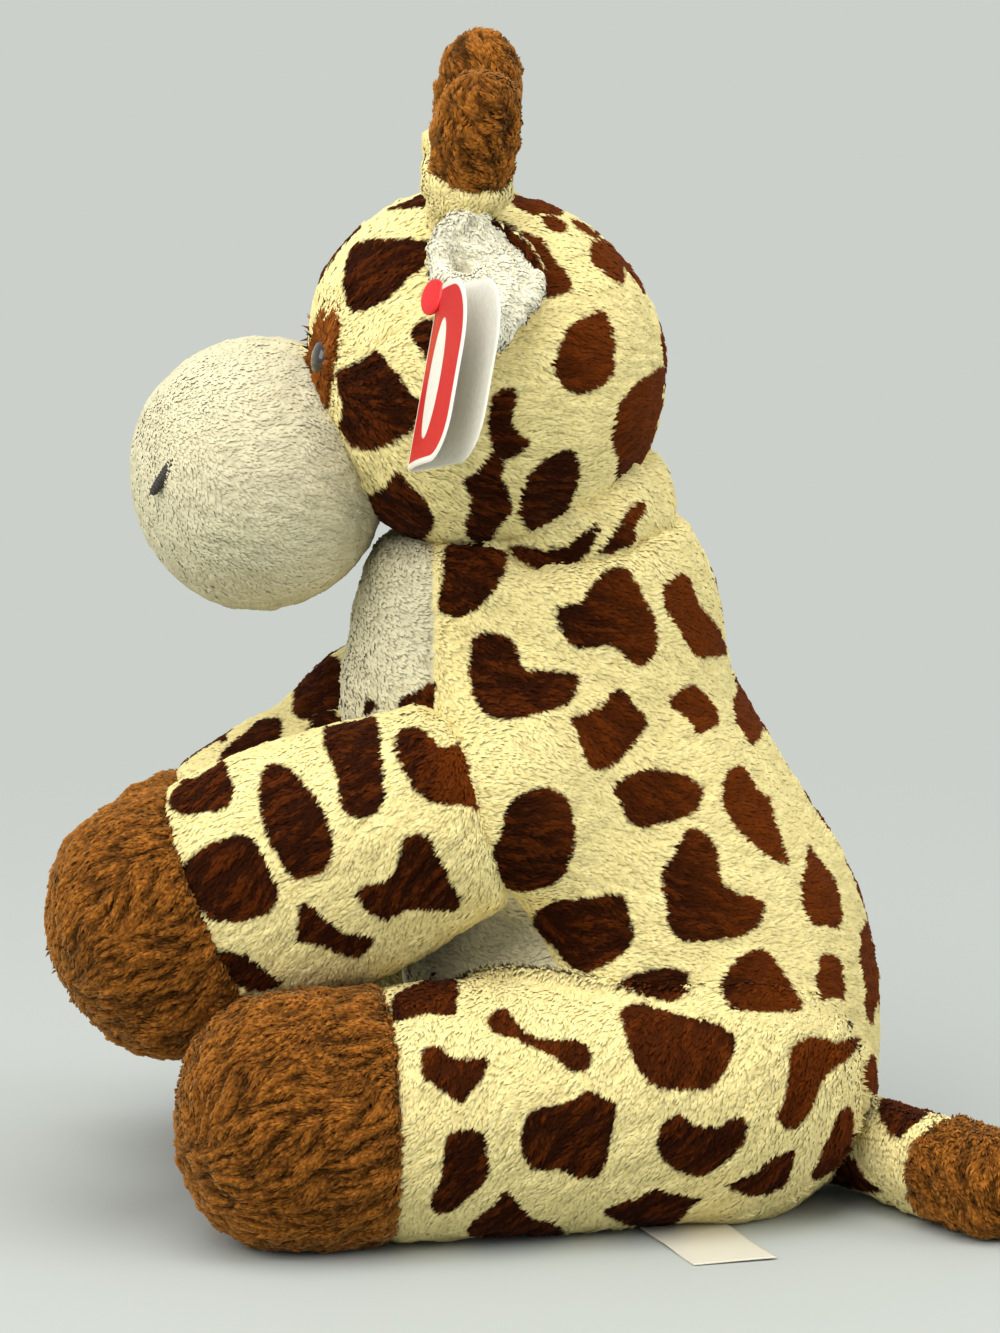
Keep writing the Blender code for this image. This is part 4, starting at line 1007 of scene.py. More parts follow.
# Spots of the torso and thighs, in pixels of the photograph
BODY_OUTLINES = (
    ((445, 552), (460, 541), (482, 538), (503, 545), (504, 565), (498, 583), (487, 598),
     (470, 612), (455, 618), (441, 612), (438, 602), (443, 580)),
    ((610, 566), (625, 569), (635, 583), (643, 600), (652, 618), (655, 640), (650, 658),
     (640, 665), (628, 662), (618, 650), (605, 645), (590, 648), (573, 646), (560, 632),
     (553, 612), (560, 605), (577, 600), (586, 588), (597, 574)),
    ((681, 572), (690, 580), (695, 597), (703, 610), (713, 622), (722, 640), (726, 652),
     (715, 656), (700, 657), (690, 650), (677, 632), (665, 612), (659, 595), (666, 580)),
    ((470, 637), (485, 631), (500, 632), (512, 642), (517, 655), (522, 666), (540, 669),
     (560, 670), (576, 675), (574, 688), (568, 702), (550, 710), (525, 717), (505, 720),
     (490, 718), (477, 708), (470, 692), (467, 672), (468, 652)),
    ((613, 689), (623, 692), (633, 705), (645, 718), (640, 732), (625, 752), (610, 765),
     (595, 769), (586, 766), (580, 750), (573, 730), (568, 717), (582, 712), (598, 704)),
    ((689, 683), (700, 690), (711, 704), (717, 718), (716, 725), (703, 731), (695, 735),
     (688, 725), (678, 713), (667, 702), (672, 693)),
    ((741, 680), (750, 695), (757, 710), (761, 722), (757, 738), (750, 745), (742, 733),
     (735, 718), (731, 702), (736, 690)),
    ((612, 788), (622, 777), (640, 769), (660, 768), (680, 773), (692, 781), (701, 790),
     (697, 805), (688, 815), (670, 820), (652, 825), (638, 827), (625, 818), (619, 803)),
    ((732, 766), (741, 768), (748, 780), (757, 792), (767, 800), (771, 815), (776, 832),
     (782, 848), (787, 863), (775, 862), (758, 852), (745, 840), (732, 826), (722, 810),
     (719, 795), (720, 778)),
    ((540, 787), (556, 792), (568, 805), (573, 825), (571, 850), (562, 872), (548, 886),
     (525, 889), (505, 890), (493, 899), (478, 886), (488, 877), (490, 850), (498, 835),
     (503, 812), (513, 797)),
    ((683, 831), (697, 830), (708, 840), (716, 852), (717, 870), (720, 881), (733, 891),
     (750, 897), (762, 903), (763, 912), (757, 925), (740, 935), (720, 940), (700, 942),
     (680, 941), (668, 930), (664, 912), (662, 895), (658, 880), (663, 865), (673, 850)),
    ((530, 918), (540, 906), (555, 900), (585, 897), (610, 892), (622, 895), (628, 915),
     (632, 935), (625, 950), (610, 962), (595, 970), (580, 974), (567, 965), (553, 947),
     (540, 930)),
    ((807, 845), (815, 853), (825, 868), (835, 882), (838, 900), (839, 928), (825, 926),
     (810, 924), (802, 910), (800, 890), (803, 868)),
    ((758, 949), (768, 954), (780, 970), (790, 985), (798, 1000), (797, 1010), (780, 1012),
     (755, 1012), (735, 1010), (722, 1000), (719, 985), (727, 968), (740, 955)),
    ((817, 956), (828, 954), (838, 960), (841, 980), (840, 1000), (828, 999), (817, 1001),
     (814, 980)),
    ((863, 921), (869, 930), (872, 950), (875, 975), (874, 1000), (870, 1023), (862, 1015),
     (861, 990), (858, 960), (859, 935)),
    ((615, 985), (635, 973), (655, 968), (675, 969), (686, 975), (686, 990), (675, 1000),
     (655, 1000), (635, 992)),
    ((366, 697), (377, 706), (363, 714)),
    ((395, 702), (415, 690), (428, 680), (435, 685), (431, 700), (430, 715), (420, 728),
     (408, 718)),
    ((393, 1000), (405, 990), (425, 985), (445, 983), (459, 985), (458, 1005), (455, 1015),
     (430, 1013), (410, 1018), (393, 1020)),
    ((488, 1020), (497, 1010), (507, 1010), (517, 1022), (530, 1034), (550, 1039), (575, 1039),
     (587, 1044), (593, 1055), (588, 1068), (577, 1072), (560, 1060), (540, 1050), (520, 1040),
     (505, 1036), (492, 1031)),
    ((422, 1055), (428, 1047), (440, 1046), (450, 1054), (465, 1057), (487, 1056), (489, 1066),
     (482, 1080), (472, 1092), (463, 1102), (450, 1095), (438, 1086), (424, 1078), (422, 1066)),
    ((621, 1012), (635, 1004), (650, 1005), (670, 1012), (700, 1018), (720, 1023), (738, 1037),
     (733, 1055), (722, 1075), (710, 1087), (680, 1088), (655, 1085), (640, 1070), (630, 1050),
     (624, 1030)),
    ((857, 1037), (852, 1052), (835, 1068), (822, 1085), (813, 1105), (803, 1122), (790, 1128),
     (778, 1120), (777, 1112), (784, 1100), (789, 1080), (790, 1055), (797, 1042), (812, 1036),
     (835, 1040)),
    ((590, 1088), (603, 1095), (617, 1100), (617, 1120), (612, 1145), (606, 1165), (598, 1176),
     (580, 1175), (560, 1168), (540, 1168), (527, 1160), (521, 1142), (524, 1122), (535, 1108),
     (560, 1103), (577, 1097)),
    ((665, 1120), (675, 1113), (685, 1115), (695, 1122), (710, 1125), (725, 1124), (735, 1116),
     (745, 1115), (749, 1130), (742, 1148), (728, 1162), (708, 1173), (690, 1174), (672, 1165),
     (660, 1150), (660, 1135)),
    ((450, 1133), (462, 1127), (478, 1128), (487, 1135), (489, 1150), (491, 1168), (485, 1180),
     (472, 1195), (455, 1208), (440, 1210), (431, 1203), (435, 1190), (443, 1170), (444, 1150)),
    ((796, 1150), (793, 1170), (785, 1185), (765, 1194), (745, 1193), (728, 1187), (740, 1178),
     (757, 1172), (770, 1160), (782, 1151)),
    ((497, 1200), (507, 1190), (520, 1200), (535, 1215), (555, 1220), (565, 1232), (540, 1240),
     (500, 1240), (470, 1232), (475, 1218)),
    ((640, 1195), (657, 1187), (675, 1193), (703, 1197), (692, 1207), (680, 1220), (655, 1225),
     (630, 1224), (610, 1215), (606, 1207)),
    ((868, 1053), (875, 1075), (879, 1095), (866, 1092), (860, 1080)),
    ((850, 1103), (854, 1118), (850, 1138), (840, 1160), (820, 1175), (812, 1175), (822, 1150),
     (833, 1125), (842, 1108)),
)
MIRROR_FROM = 9.0
BODY_SET = (
    ((-6.0, 9.0, 125.0), 8.0, 7.0, 10.0, 2),
    ((-7.0, 17.0, 106.0), 9.0, 10.0, -15.0, 0),
    ((-5.0, 28.0, 84.0), 10.0, 9.5, 25.0, 3),
    ((-8.0, 37.0, 62.0), 9.0, 11.0, 0.0, 1),
    ((6.0, 42.0, 46.0), 7.0, 7.5, 30.0, 2),
    ((-14.0, 42.0, 36.0), 9.0, 9.0, 60.0, 4),
    ((14.0, 40.0, 19.0), 8.0, 7.0, 0.0, 0),
    ((-9.0, 39.0, 12.0), 9.0, 7.0, 20.0, 3),
    ((0.0, 8.0, 0.0), 12.0, 9.0, 0.0, 0),
    ((18.0, -12.0, 0.0), 9.0, 7.0, 40.0, 3),
    ((-18.0, -10.0, 0.0), 10.0, 8.0, 110.0, 4),
    ((6.0, 27.0, 0.5), 8.0, 6.0, 10.0, 2),
    ((30.0, -30.0, 0.0), 9.0, 8.0, 10.0, 0),
    ((-30.0, -34.0, 0.0), 9.0, 8.0, 70.0, 1),
    ((45.0, -45.0, 0.0), 8.0, 6.0, 70.0, 2),
    ((-46.0, -45.0, 0.0), 8.0, 6.0, 20.0, 3),
    ((26.0, -40.0, 40.0), 8.0, 6.0, 20.0, 0),
    ((-26.0, -42.0, 38.0), 8.0, 6.5, 60.0, 4),
    ((28.0, -48.0, 18.0), 6.0, 6.0, 20.0, 2),
    ((-29.0, -47.0, 20.0), 6.0, 7.0, 20.0, 0),
)
body_tree = bvh_of(torso_skin, thigh_skins[1], thigh_skins[-1])
body_spots = seen_spots(BODY_OUTLINES, body_tree)
body_spots += mirrored_spots([spot for spot in body_spots if spot[0][0] > MIRROR_FROM])
body_spots += set_spots(BODY_SET, body_tree)


PANEL_SEAM_DEPTH = 0.8
PANEL_SEAM_WIDTH = 1.3


def inside_panel(points):
    """Distance in mm inside the chest and belly panel's edge, negative outside it."""
    high, front = np.array(PANEL_EDGE).T
    return np.interp(points[:, 2], high, front) - points[:, 1]


def torso_panel(points):
    """Distance in mm inside the off-white of the panel, with a furry edge."""
    return inside_panel(points) + 0.35 * noise(points, 2.0, 61)


def torso_relief(points):
    """The sunk seam round the belly panel."""
    return -PANEL_SEAM_DEPTH * np.exp(-((inside_panel(points) / PANEL_SEAM_WIDTH) ** 2))


def torso_comb(points):
    """The pile of the torso runs round towards the back and a little down."""
    way = np.column_stack((-points[:, 1] - 15.0, points[:, 0], np.full(len(points), -14.0)))
    way[:, :2] *= np.sign(points[:, :1])
    return way + np.array((0.0, 12.0, 0.0))


def torso_covered(points):
    """Where a leg or the head hides the torso for good."""
    hidden = ball_gap(points, HEAD_CENTRE, HEAD_AXES) < -6.0
    for side in (1, -1):
        hidden |= leg_gap(points, rear_frames[side], REAR_ROWS) < -5.0
        hidden |= leg_gap(points, front_frames[side], FRONT_ROWS) < -8.0
    return hidden | (points[:, 2] < 0.35)


torso = plush_piece(
    "torso", torso_skin, spotted_plush, "cream", torso_comb, riding("torso"), 100, body_spots,
    torso_panel, torso_covered, torso_relief,
)
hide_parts("torso_cover", "belly_panel", "torso_stuffing", "pellet_bag")

# Neck
# A gathered roll of spotted plush, sewn between the torso's top and the head.
# It turns with the head. Rows are as the torso's.
NECK_ROWS = (
    (124.0, -32.0, -26.0, 2.0),
    (124.0, -46.0, -12.0, 18.0),
    (127.0, -52.0, -4.0, 25.5),
    (131.0, -54.5, -1.0, 28.6),
    (135.0, -55.0, 0.0, 30.2),
    (139.0, -54.5, -0.5, 30.2),
    (143.0, -52.5, -2.0, 28.4),
    (147.0, -49.0, -5.0, 25.0),
    (150.5, -43.0, -11.0, 18.5),
    (152.0, -31.0, -27.0, 2.0),
)
NECK_TURNS = 230
NECK_TILT = 0.27
NECK_MIDDLE = -36.0
NECK_HOLLOW = 0.20
neck_rings = pear_rings(eased(NECK_ROWS, SPACING), NECK_TURNS)
neck_rings[..., 0] *= 1.0 - NECK_HOLLOW * smooth_step(-neck_rings[..., 1], 8.0, 28.0)
neck_rings[..., 2] += NECK_TILT * (neck_rings[..., 1] - NECK_MIDDLE)
neck_skin = ringed(neck_rings)
NECK_OUTLINES = (
    ((500, 548), (520, 545), (545, 548), (570, 540), (585, 530), (595, 520), (590, 545),
     (575, 565), (560, 572), (545, 575), (535, 568), (520, 560)),
    ((638, 500), (640, 510), (632, 525), (632, 540), (622, 545), (605, 552), (592, 552),
     (600, 545), (608, 535), (618, 520), (625, 508)),
    ((667, 484), (674, 492), (682, 515), (686, 535), (679, 530), (670, 508)),
)
neck_tree = bvh_of(neck_skin)
neck_spots = seen_spots(NECK_OUTLINES, neck_tree)
neck_spots += mirrored_spots(neck_spots[:2])


def neck_relief(points):
    """Gathers that run up and round the roll."""
    turn = np.arctan2(points[:, 0], points[:, 1] + 29.0)
    high = points[:, 2]
    return 0.55 * np.sin(11.0 * turn + 0.25 * high) + 0.3 * np.sin(23.0 * turn - 0.4 * high)


neck = plush_piece(
    "neck", neck_skin, spotted_plush, "cream", torso_comb, riding("neck"), 140, neck_spots,
    torso_panel, lambda points: ball_gap(points, HEAD_CENTRE, HEAD_AXES) < -4.0, neck_relief,
)
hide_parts("neck_roll")

# Head
# A ball of spotted plush, sewn from panels and stuffed firm, with a fuller forehead.
# The muzzle, horns and ears are sewn to it.
MUZZLE_CENTRE = np.array((0.0, -86.0, 151.7))
MUZZLE_AXES = np.array((34.7, 26.5, 27.7))
HEAD_OUTLINES = (
    ((344, 292), (343, 275), (349, 255), (362, 243), (385, 240), (405, 239), (422, 241),
     (431, 243), (429, 262), (410, 275), (400, 286), (385, 300), (365, 311), (350, 312)),
    ((338, 372), (350, 365), (365, 358), (376, 352), (386, 362), (400, 378), (409, 392),
     (421, 404), (415, 424), (400, 437), (380, 445), (362, 447), (350, 441), (341, 425),
     (344, 405), (339, 388)),
    ((350, 497), (365, 493), (385, 483), (396, 469), (405, 478), (418, 493), (428, 505),
     (432, 522), (425, 535), (408, 545), (392, 546), (375, 538), (358, 520)),
    ((408, 335), (415, 325), (424, 319), (436, 322), (445, 335), (446, 352), (440, 370),
     (430, 366), (418, 350)),
    ((597, 310), (606, 320), (611, 345), (611, 365), (606, 380), (590, 390), (575, 394),
     (560, 386), (551, 368), (554, 352), (560, 335), (567, 325), (583, 317)),
    ((661, 366), (661, 385), (658, 410), (652, 435), (643, 460), (628, 475), (617, 484),
     (611, 478), (613, 460), (608, 445), (610, 425), (614, 408), (622, 395), (637, 380),
     (650, 371)),
    ((570, 449), (574, 458), (577, 468), (574, 488), (565, 510), (552, 530), (539, 539),
     (525, 528), (515, 513), (513, 510), (519, 495), (524, 480), (535, 465), (552, 455)),
    ((498, 390), (511, 389), (516, 397), (511, 410), (512, 425), (518, 434), (528, 440),
     (520, 452), (508, 460), (497, 460), (488, 440), (486, 420), (490, 400)),
    ((488, 452), (497, 456), (502, 465), (500, 478), (506, 490), (510, 510), (498, 525),
     (485, 544), (470, 540), (462, 528), (467, 510), (468, 495), (460, 480), (475, 470)),
    ((500, 226), (520, 232), (540, 240), (553, 260), (566, 275), (569, 285), (566, 292),
     (543, 300), (535, 290), (540, 275), (530, 262), (512, 248), (500, 240)),
    ((589, 240), (600, 236), (608, 245), (620, 262), (623, 275), (619, 284), (607, 279),
     (596, 270), (588, 260)),
    ((538, 217), (552, 219), (565, 228), (560, 232), (545, 228)),
    ((425, 203), (434, 199), (438, 212), (438, 224), (431, 217)),
    ((482, 213), (493, 199), (500, 195), (497, 206), (487, 217)),
    ((505, 204), (522, 204), (540, 213), (530, 216), (515, 210)),
    ((566, 219), (585, 226), (600, 238), (592, 238), (575, 230)),
)
HEAD_SET = (
    ((-2.0, -30.0, 209.0), 9.0, 7.0, 20.0, 0),
    ((1.0, -52.0, 206.0), 7.0, 6.0, 50.0, 3),
    ((-3.0, -68.0, 195.0), 6.5, 7.5, 0.0, 2),
    ((-4.0, -10.0, 196.0), 8.0, 8.0, 10.0, 1),
    ((-2.0, -2.0, 176.0), 9.0, 8.0, -20.0, 0),
    ((-6.0, -6.0, 156.0), 9.0, 7.0, 15.0, 4),
)


def ball_skin(centre, axes, pole, step=SPACING):
    """An egg's closed skin with its end points along the pole."""
    pole = unit(np.array(pole, float))
    east, north = tangents(pole)
    rows = int(math.pi * axes.max() / step)
    lean = np.pi * np.arange(rows + 1) / rows
    lean[0], lean[-1] = lean[1] * 0.1, np.pi - lean[1] * 0.1
    turns = 2 * math.pi * np.arange(2 * rows) / (2 * rows)
    rings = (
        east * (np.sin(lean)[:, None] * np.cos(turns))[..., None]
        + north * (np.sin(lean)[:, None] * np.sin(turns))[..., None]
        - pole * np.cos(lean)[:, None, None]
    )
    return ringed(centre + rings * axes)


BROW_WAY = unit(np.array((0.0, -0.62, 0.78)))
BROW_HIGH = 2.6
HEAD_MIRROR_FROM = 10.0


def browed(skin):
    """The head's skin with its forehead fuller."""
    points, faces, chart = skin
    out = unit(points - HEAD_CENTRE)
    rise = BROW_HIGH * smooth_step(out @ BROW_WAY, 0.70, 1.0)
    return points + out * rise[:, None], faces, chart


head_skin = browed(ball_skin(HEAD_CENTRE, HEAD_AXES, (0.0, -0.9, -0.4)))
head_tree = bvh_of(head_skin)
head_spots = seen_spots(HEAD_OUTLINES, head_tree)
head_spots += mirrored_spots([spot for spot in head_spots if spot[0][0] > HEAD_MIRROR_FROM])
head_spots += set_spots(HEAD_SET, head_tree)


def head_comb(points):
    """The pile of the head runs back from the muzzle and down."""
    way = points - MUZZLE_CENTRE
    way[:, 0] *= 0.2
    return way + np.array((0.0, 10.0, -25.0))


head = plush_piece(
    "head", head_skin, spotted_plush, "cream", head_comb, riding("head"), 200, head_spots,
    covered=lambda points: ball_gap(points, MUZZLE_CENTRE, MUZZLE_AXES) < -3.0,
)
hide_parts("head_cover", "head_stuffing")

# Muzzle
# An egg of off-white plush with fine even pile, stuffed, and sewn on the front of the head.
pale_plush = plush("pale_plush", PALE, PALE_DEEP, (0.86, 1.04), (0.93, 1.05))
muzzle_skin = ball_skin(MUZZLE_CENTRE, MUZZLE_AXES, (0.0, 0.95, 0.3))


def muzzle_comb(points):
    """The pile of the muzzle runs back and down from its front."""
    way = points - MUZZLE_CENTRE + np.array((0.0, 40.0, 0.0))
    way[:, 0] *= 0.6
    return way + np.array((0.0, 30.0, -30.0))


muzzle = plush_piece(
    "muzzle", muzzle_skin, pale_plush, "pale", muzzle_comb, riding("head"), 230,
    covered=lambda points: ball_gap(points, HEAD_CENTRE, HEAD_AXES) < -3.0,
)
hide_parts("muzzle_cover", "muzzle_stuffing")

# Front legs
# Stuffed sleeves of spotted plush with brown plush hooves over their ends, sewn to the torso's
# sides. Each hangs from its shoulder and moves as one.
BROWN = (0.315, 0.112, 0.015)
BROWN_DEEP = (0.095, 0.028, 0.004)
FRONT_HOOF_ROWS = (
    (56.6, 0.5), (56.6, 14.0), (57.0, 24.0), (58.6, 26.2), (63.0, 27.0), (69.4, 27.5),
    (78.6, 24.9), (86.0, 18.8), (90.7, 10.0), (92.1, 4.0), (92.4, 0.5),
)
FRONT_SEAM = 57.2
RIGHT_FULLER = 6.5
SPOTS_APART = 15.0
ARM_RADIUS = 26.0
ARM_OUTLINES = (
    ((172, 800), (185, 783), (200, 776), (215, 768), (228, 762), (231, 772), (236, 785),
     (233, 800), (220, 810), (205, 812), (180, 813)),
    ((172, 880), (180, 868), (195, 853), (215, 842), (240, 834), (255, 838), (264, 852),
     (271, 870), (280, 890), (276, 905), (262, 915), (240, 921), (215, 918), (198, 905),
     (180, 895)),
    ((268, 767), (280, 763), (292, 768), (305, 780), (320, 800), (330, 818), (335, 840),
     (333, 860), (322, 873), (300, 879), (290, 873), (278, 855), (268, 835), (263, 812),
     (261, 790)),
    ((335, 722), (350, 720), (375, 718), (382, 728), (384, 750), (386, 780), (387, 795),
     (380, 810), (365, 818), (352, 815), (343, 805), (340, 785), (335, 765), (327, 750),
     (325, 735)),
    ((405, 728), (420, 728), (430, 735), (440, 746), (455, 745), (465, 741), (478, 748),
     (478, 765), (482, 780), (484, 797), (478, 808), (460, 805), (435, 803), (420, 793),
     (410, 780), (402, 765), (396, 745)),
    ((405, 838), (418, 833), (430, 836), (437, 850), (447, 865), (453, 880), (462, 897),
     (455, 908), (430, 907), (410, 908), (395, 915), (383, 919), (370, 912), (360, 898),
     (361, 887), (378, 881), (390, 875), (398, 860)),
    ((305, 902), (317, 908), (330, 920), (350, 932), (374, 934), (370, 947), (355, 955),
     (335, 950), (315, 943), (300, 942), (298, 925)),
    ((220, 950), (240, 952), (260, 963), (275, 975), (285, 982), (262, 990), (240, 985),
     (225, 968)),
    ((287, 735), (310, 722), (330, 714), (343, 706), (345, 716), (335, 722), (315, 733)),
)
FAR_ARM_OUTLINES = (
    ((294, 705), (297, 690), (305, 678), (316, 668), (328, 660), (342, 658), (350, 680),
     (345, 705), (330, 716), (312, 720), (298, 716)),
    ((246, 739), (250, 728), (262, 720), (276, 716), (285, 722), (283, 732), (268, 736),
     (255, 742)),
)
ARM_SET = (
    # along the leg, degrees about it from outward through up, half width and height, turn, blob
    (20.0, 135.0, 8.0, 7.0, 30.0, 1),
    (40.0, 115.0, 7.0, 9.0, 0.0, 0),
    (42.0, 160.0, 9.0, 7.0, 20.0, 3),
    (16.0, 180.0, 8.0, 8.0, 0.0, 2),
    (30.0, 205.0, 8.0, 7.0, 70.0, 4),
    (46.0, 225.0, 7.0, 8.0, 0.0, 0),
    (18.0, 240.0, 7.0, 7.0, 40.0, 1),
    (34.0, 262.0, 8.0, 8.0, 10.0, 3),
)


def round_leg(rows, leg, side, radius):
    """Places for hand-set spots about a leg."""
    pivot, forward, across, up = leg
    outward = outward_of(leg, side)
    placed = []
    for along, turn, *rest in rows:
        angle = math.radians(turn)
        away = outward * math.cos(angle) + up * math.sin(angle)
        placed.append(((pivot + forward * along + away * radius).tolist(), *rest))
    return placed


def leg_comb(leg, sweep):
    """The pile of a leg runs towards its end, swept round it by this much."""
    pivot, forward = leg[:2]

    def comb(points):
        away = points - pivot
        away = away - (away @ forward)[:, None] * forward
        return forward + sweep * unit(np.cross(forward, away))

    return comb


def arm_fit(side):
    """A step that makes the right arm fuller on its upper side near the shoulder."""
    pivot, forward, across, up = front_frames[side]

    def fit(points, faces):
        along, high = (points - pivot) @ forward, (points - pivot) @ up
        share = smooth_step(high, 0.0, 21.0) * plateau(along, (-7.0, 6.0), (11.0, 34.0))
        return points + up * (RIGHT_FULLER * share)[:, None] if side < 0 else points

    return fit


def carried_spots(spots, before, leg):
    """One leg's spots on the other: the same along and above it, mirrored across it."""
    carried = []
    for centre, normal, east, north, outline in spots:
        moved = []
        for vector in (centre - before[0], normal, east, north):
            along, across, up = (vector @ axis for axis in before[1:])
            moved.append(along * leg[1] - across * leg[2] + up * leg[3])
        moved[0] = moved[0] + leg[0]
        carried.append((*moved, outline))
    return carried


brown_plush = plush(
    "brown_plush", BROWN, BROWN_DEEP, (0.42, 1.22), (0.26, 1.45), 0.35, (1.0, 0.62, 0.26)
)
for side, word in ((1, "left"), (-1, "right")):
    leg = front_frames[side]
    skin = leg_skin(leg, FRONT_ROWS, arm_fit(side))
    tree = bvh_of(skin)
    if side == 1:
        seen = left_spots = seen_spots(ARM_OUTLINES, tree)
    else:
        seen = seen_spots(FAR_ARM_OUTLINES, tree)
        middles = [spot[0] for spot in seen]
        for spot in carried_spots(left_spots, front_frames[1], leg):
            if min(np.linalg.norm(spot[0] - middle) for middle in middles) > SPOTS_APART:
                seen.append(spot)
    spots = seen + set_spots(round_leg(ARM_SET, leg, side, ARM_RADIUS), tree)
    body = "front_leg_" + word
    sleeve = plush_piece(
        body + "_sleeve", skin, spotted_plush, "cream", leg_comb(leg, -0.5 * side), riding(body),
        300 + 20 * side, spots, covered=lambda points: torso_gap(points) < -7.0,
    )
    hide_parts(body + "_sleeve", body + "_stuffing")
    hoof = plush_piece(
        body + "_hoof", leg_skin(leg, FRONT_HOOF_ROWS), brown_plush, "brown",
        leg_comb(leg, -0.3 * side), riding(body), 350 + 20 * side,
        covered=lambda points: (points - leg[0]) @ leg[1] < FRONT_SEAM,
    )
    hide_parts(body + "_hoof")

# Rear legs
# Stuffed thighs of spotted plush that run out of the seat, with brown plush hooves over their
# ends. They lie flat on the ground, and each swings out with its skin blended over the hip.
REAR_HOOF_ROWS = (
    (56.5, 0.5), (56.5, 14.0), (56.9, 23.0), (58.1, 25.7), (61.5, 26.5), (67.0, 26.7),
    (75.0, 26.9), (86.0, 24.8), (94.5, 18.2), (98.6, 9.4), (99.6, 4.0), (99.8, 0.5),
)
for side, word in ((1, "left"), (-1, "right")):
    leg = rear_frames[side]
    body = "rear_leg_" + word
    thigh = plush_piece(
        body + "_thigh", thigh_skins[side], spotted_plush, "cream", leg_comb(leg, -1.2 * side),
        lambda thing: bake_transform(thing),
        400 + 20 * side, body_spots, covered=lambda points: torso_gap(points) < -6.0,
    )
    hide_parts(body + "_sleeve", body + "_stuffing")
    skin = leg_skin(leg, REAR_HOOF_ROWS, lambda points, faces: seam_turned(points, leg, side))
    hoof = plush_piece(
        body + "_hoof", skin, brown_plush, "brown", leg_comb(leg, -0.35 * side), riding(body),
        450 + 20 * side,
    )
    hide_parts(body + "_hoof")

# Tail
# A short stuffed tail of spotted plush with a brown plush tip, sewn into the back seam and
# lying on the ground.
TAIL_PIVOT = np.array((2.0, 36.0, 10.6))
TAIL_YAW = math.radians(57.0)
TAIL_ROWS = (
    (-7.0, 0.5), (-6.0, 5.0), (-3.0, 8.6), (0.0, 9.8), (7.0, 9.9), (15.0, 9.8), (24.0, 10.0),
    (33.0, 10.4), (37.6, 10.3), (38.6, 8.5), (38.9, 5.0), (38.9, 0.5),
)
TAIL_TIP_ROWS = (
    (38.2, 0.5), (38.2, 5.0), (38.5, 9.0), (39.6, 10.8), (44.0, 11.1), (50.0, 11.1), (56.8, 10.8),
    (62.7, 8.3), (66.5, 4.2), (67.6, 1.8), (67.8, 0.5),
)
# The third outline is a dark patch under the tail's root, where tail and torso meet
TAIL_OUTLINES = (
    ((881, 1098), (895, 1097), (907, 1106), (920, 1102), (940, 1106), (928, 1116), (912, 1128),
     (902, 1139), (893, 1136), (885, 1125), (879, 1112)),
    ((914, 1150), (926, 1142), (942, 1139), (945, 1148), (935, 1158), (922, 1158)),
    ((822, 1178), (835, 1165), (850, 1154), (862, 1168), (875, 1182), (882, 1189), (850, 1188)),
)
TAIL_SEAM = 38.9
TAIL_RADIUS = 10.0
TAIL_SET = (
    (12.0, 150.0, 6.0, 5.0, 20.0, 0),
    (28.0, 120.0, 5.0, 5.5, 60.0, 2),
    (20.0, 200.0, 6.0, 5.0, 0.0, 3),
    (32.0, 250.0, 5.0, 5.0, 30.0, 1),
)
tail_way = (math.sin(TAIL_YAW), math.cos(TAIL_YAW), 0.0)
tail_leg = leg_frame(TAIL_PIVOT, tail_way, 1)
tail_skin = leg_skin(tail_leg, TAIL_ROWS)
tail_tree = bvh_of(tail_skin)
tail_spots = seen_spots(TAIL_OUTLINES, tail_tree)
tail_spots += set_spots(round_leg(TAIL_SET, tail_leg, 1, TAIL_RADIUS), tail_tree)
tail = plush_piece(
    "tail_sleeve", tail_skin, spotted_plush, "cream", leg_comb(tail_leg, 0.6), riding("tail"),
    500, tail_spots, covered=lambda points: torso_gap(points) < -5.0,
)
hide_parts("tail_sleeve", "tail_stuffing")
tail_tip = plush_piece(
    "tail_tip", leg_skin(tail_leg, TAIL_TIP_ROWS), brown_plush, "brown", leg_comb(tail_leg, 0.8),
    riding("tail"), 520, covered=lambda points: (points - tail_leg[0]) @ tail_leg[1] < TAIL_SEAM,
)
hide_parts("tail_tip")

# Horns
# A stuffed stem of cream plush sewn on the crown, with a brown plush knob sewn over its end.
# The knob's seam runs a little askew.
HORN_FOOT = np.array((16.0, -44.5, 206.3))
HORN_SPLAY = {1: math.radians(22.0), -1: math.radians(6.0)}
HORN_LEAN = math.radians(10.0)
HORN_SEAM = 12.4
SEAM_SLOPE = 0.06
STEM_ROWS = (
    (-6.0, 0.5), (-5.6, 3.5), (-4.0, 5.0), (0.5, 6.0), (3.5, 6.8), (7.5, 8.4), (11.3, 9.3),
    (12.4, 8.4), (12.8, 5.0), (12.8, 0.5),
)
KNOB_ROWS = (
    (11.9, 0.5), (11.9, 4.5), (12.2, 6.6), (13.3, 7.5), (16.5, 8.1), (22.2, 8.4), (27.8, 8.0),
    (32.6, 6.4), (34.7, 3.8), (35.7, 0.5),
)


def seam_fit(leg):
    """A step that tilts a horn's knob seam: higher in front."""
    foot, forward = leg[:2]

    def fit(points, faces):
        share = plateau((points - foot) @ forward, (3.0, HORN_SEAM - 1.0), (18.0, 30.0))
        return points - forward * ((points[:, 1:2] - foot[1]) * SEAM_SLOPE * share[:, None])

    return fit


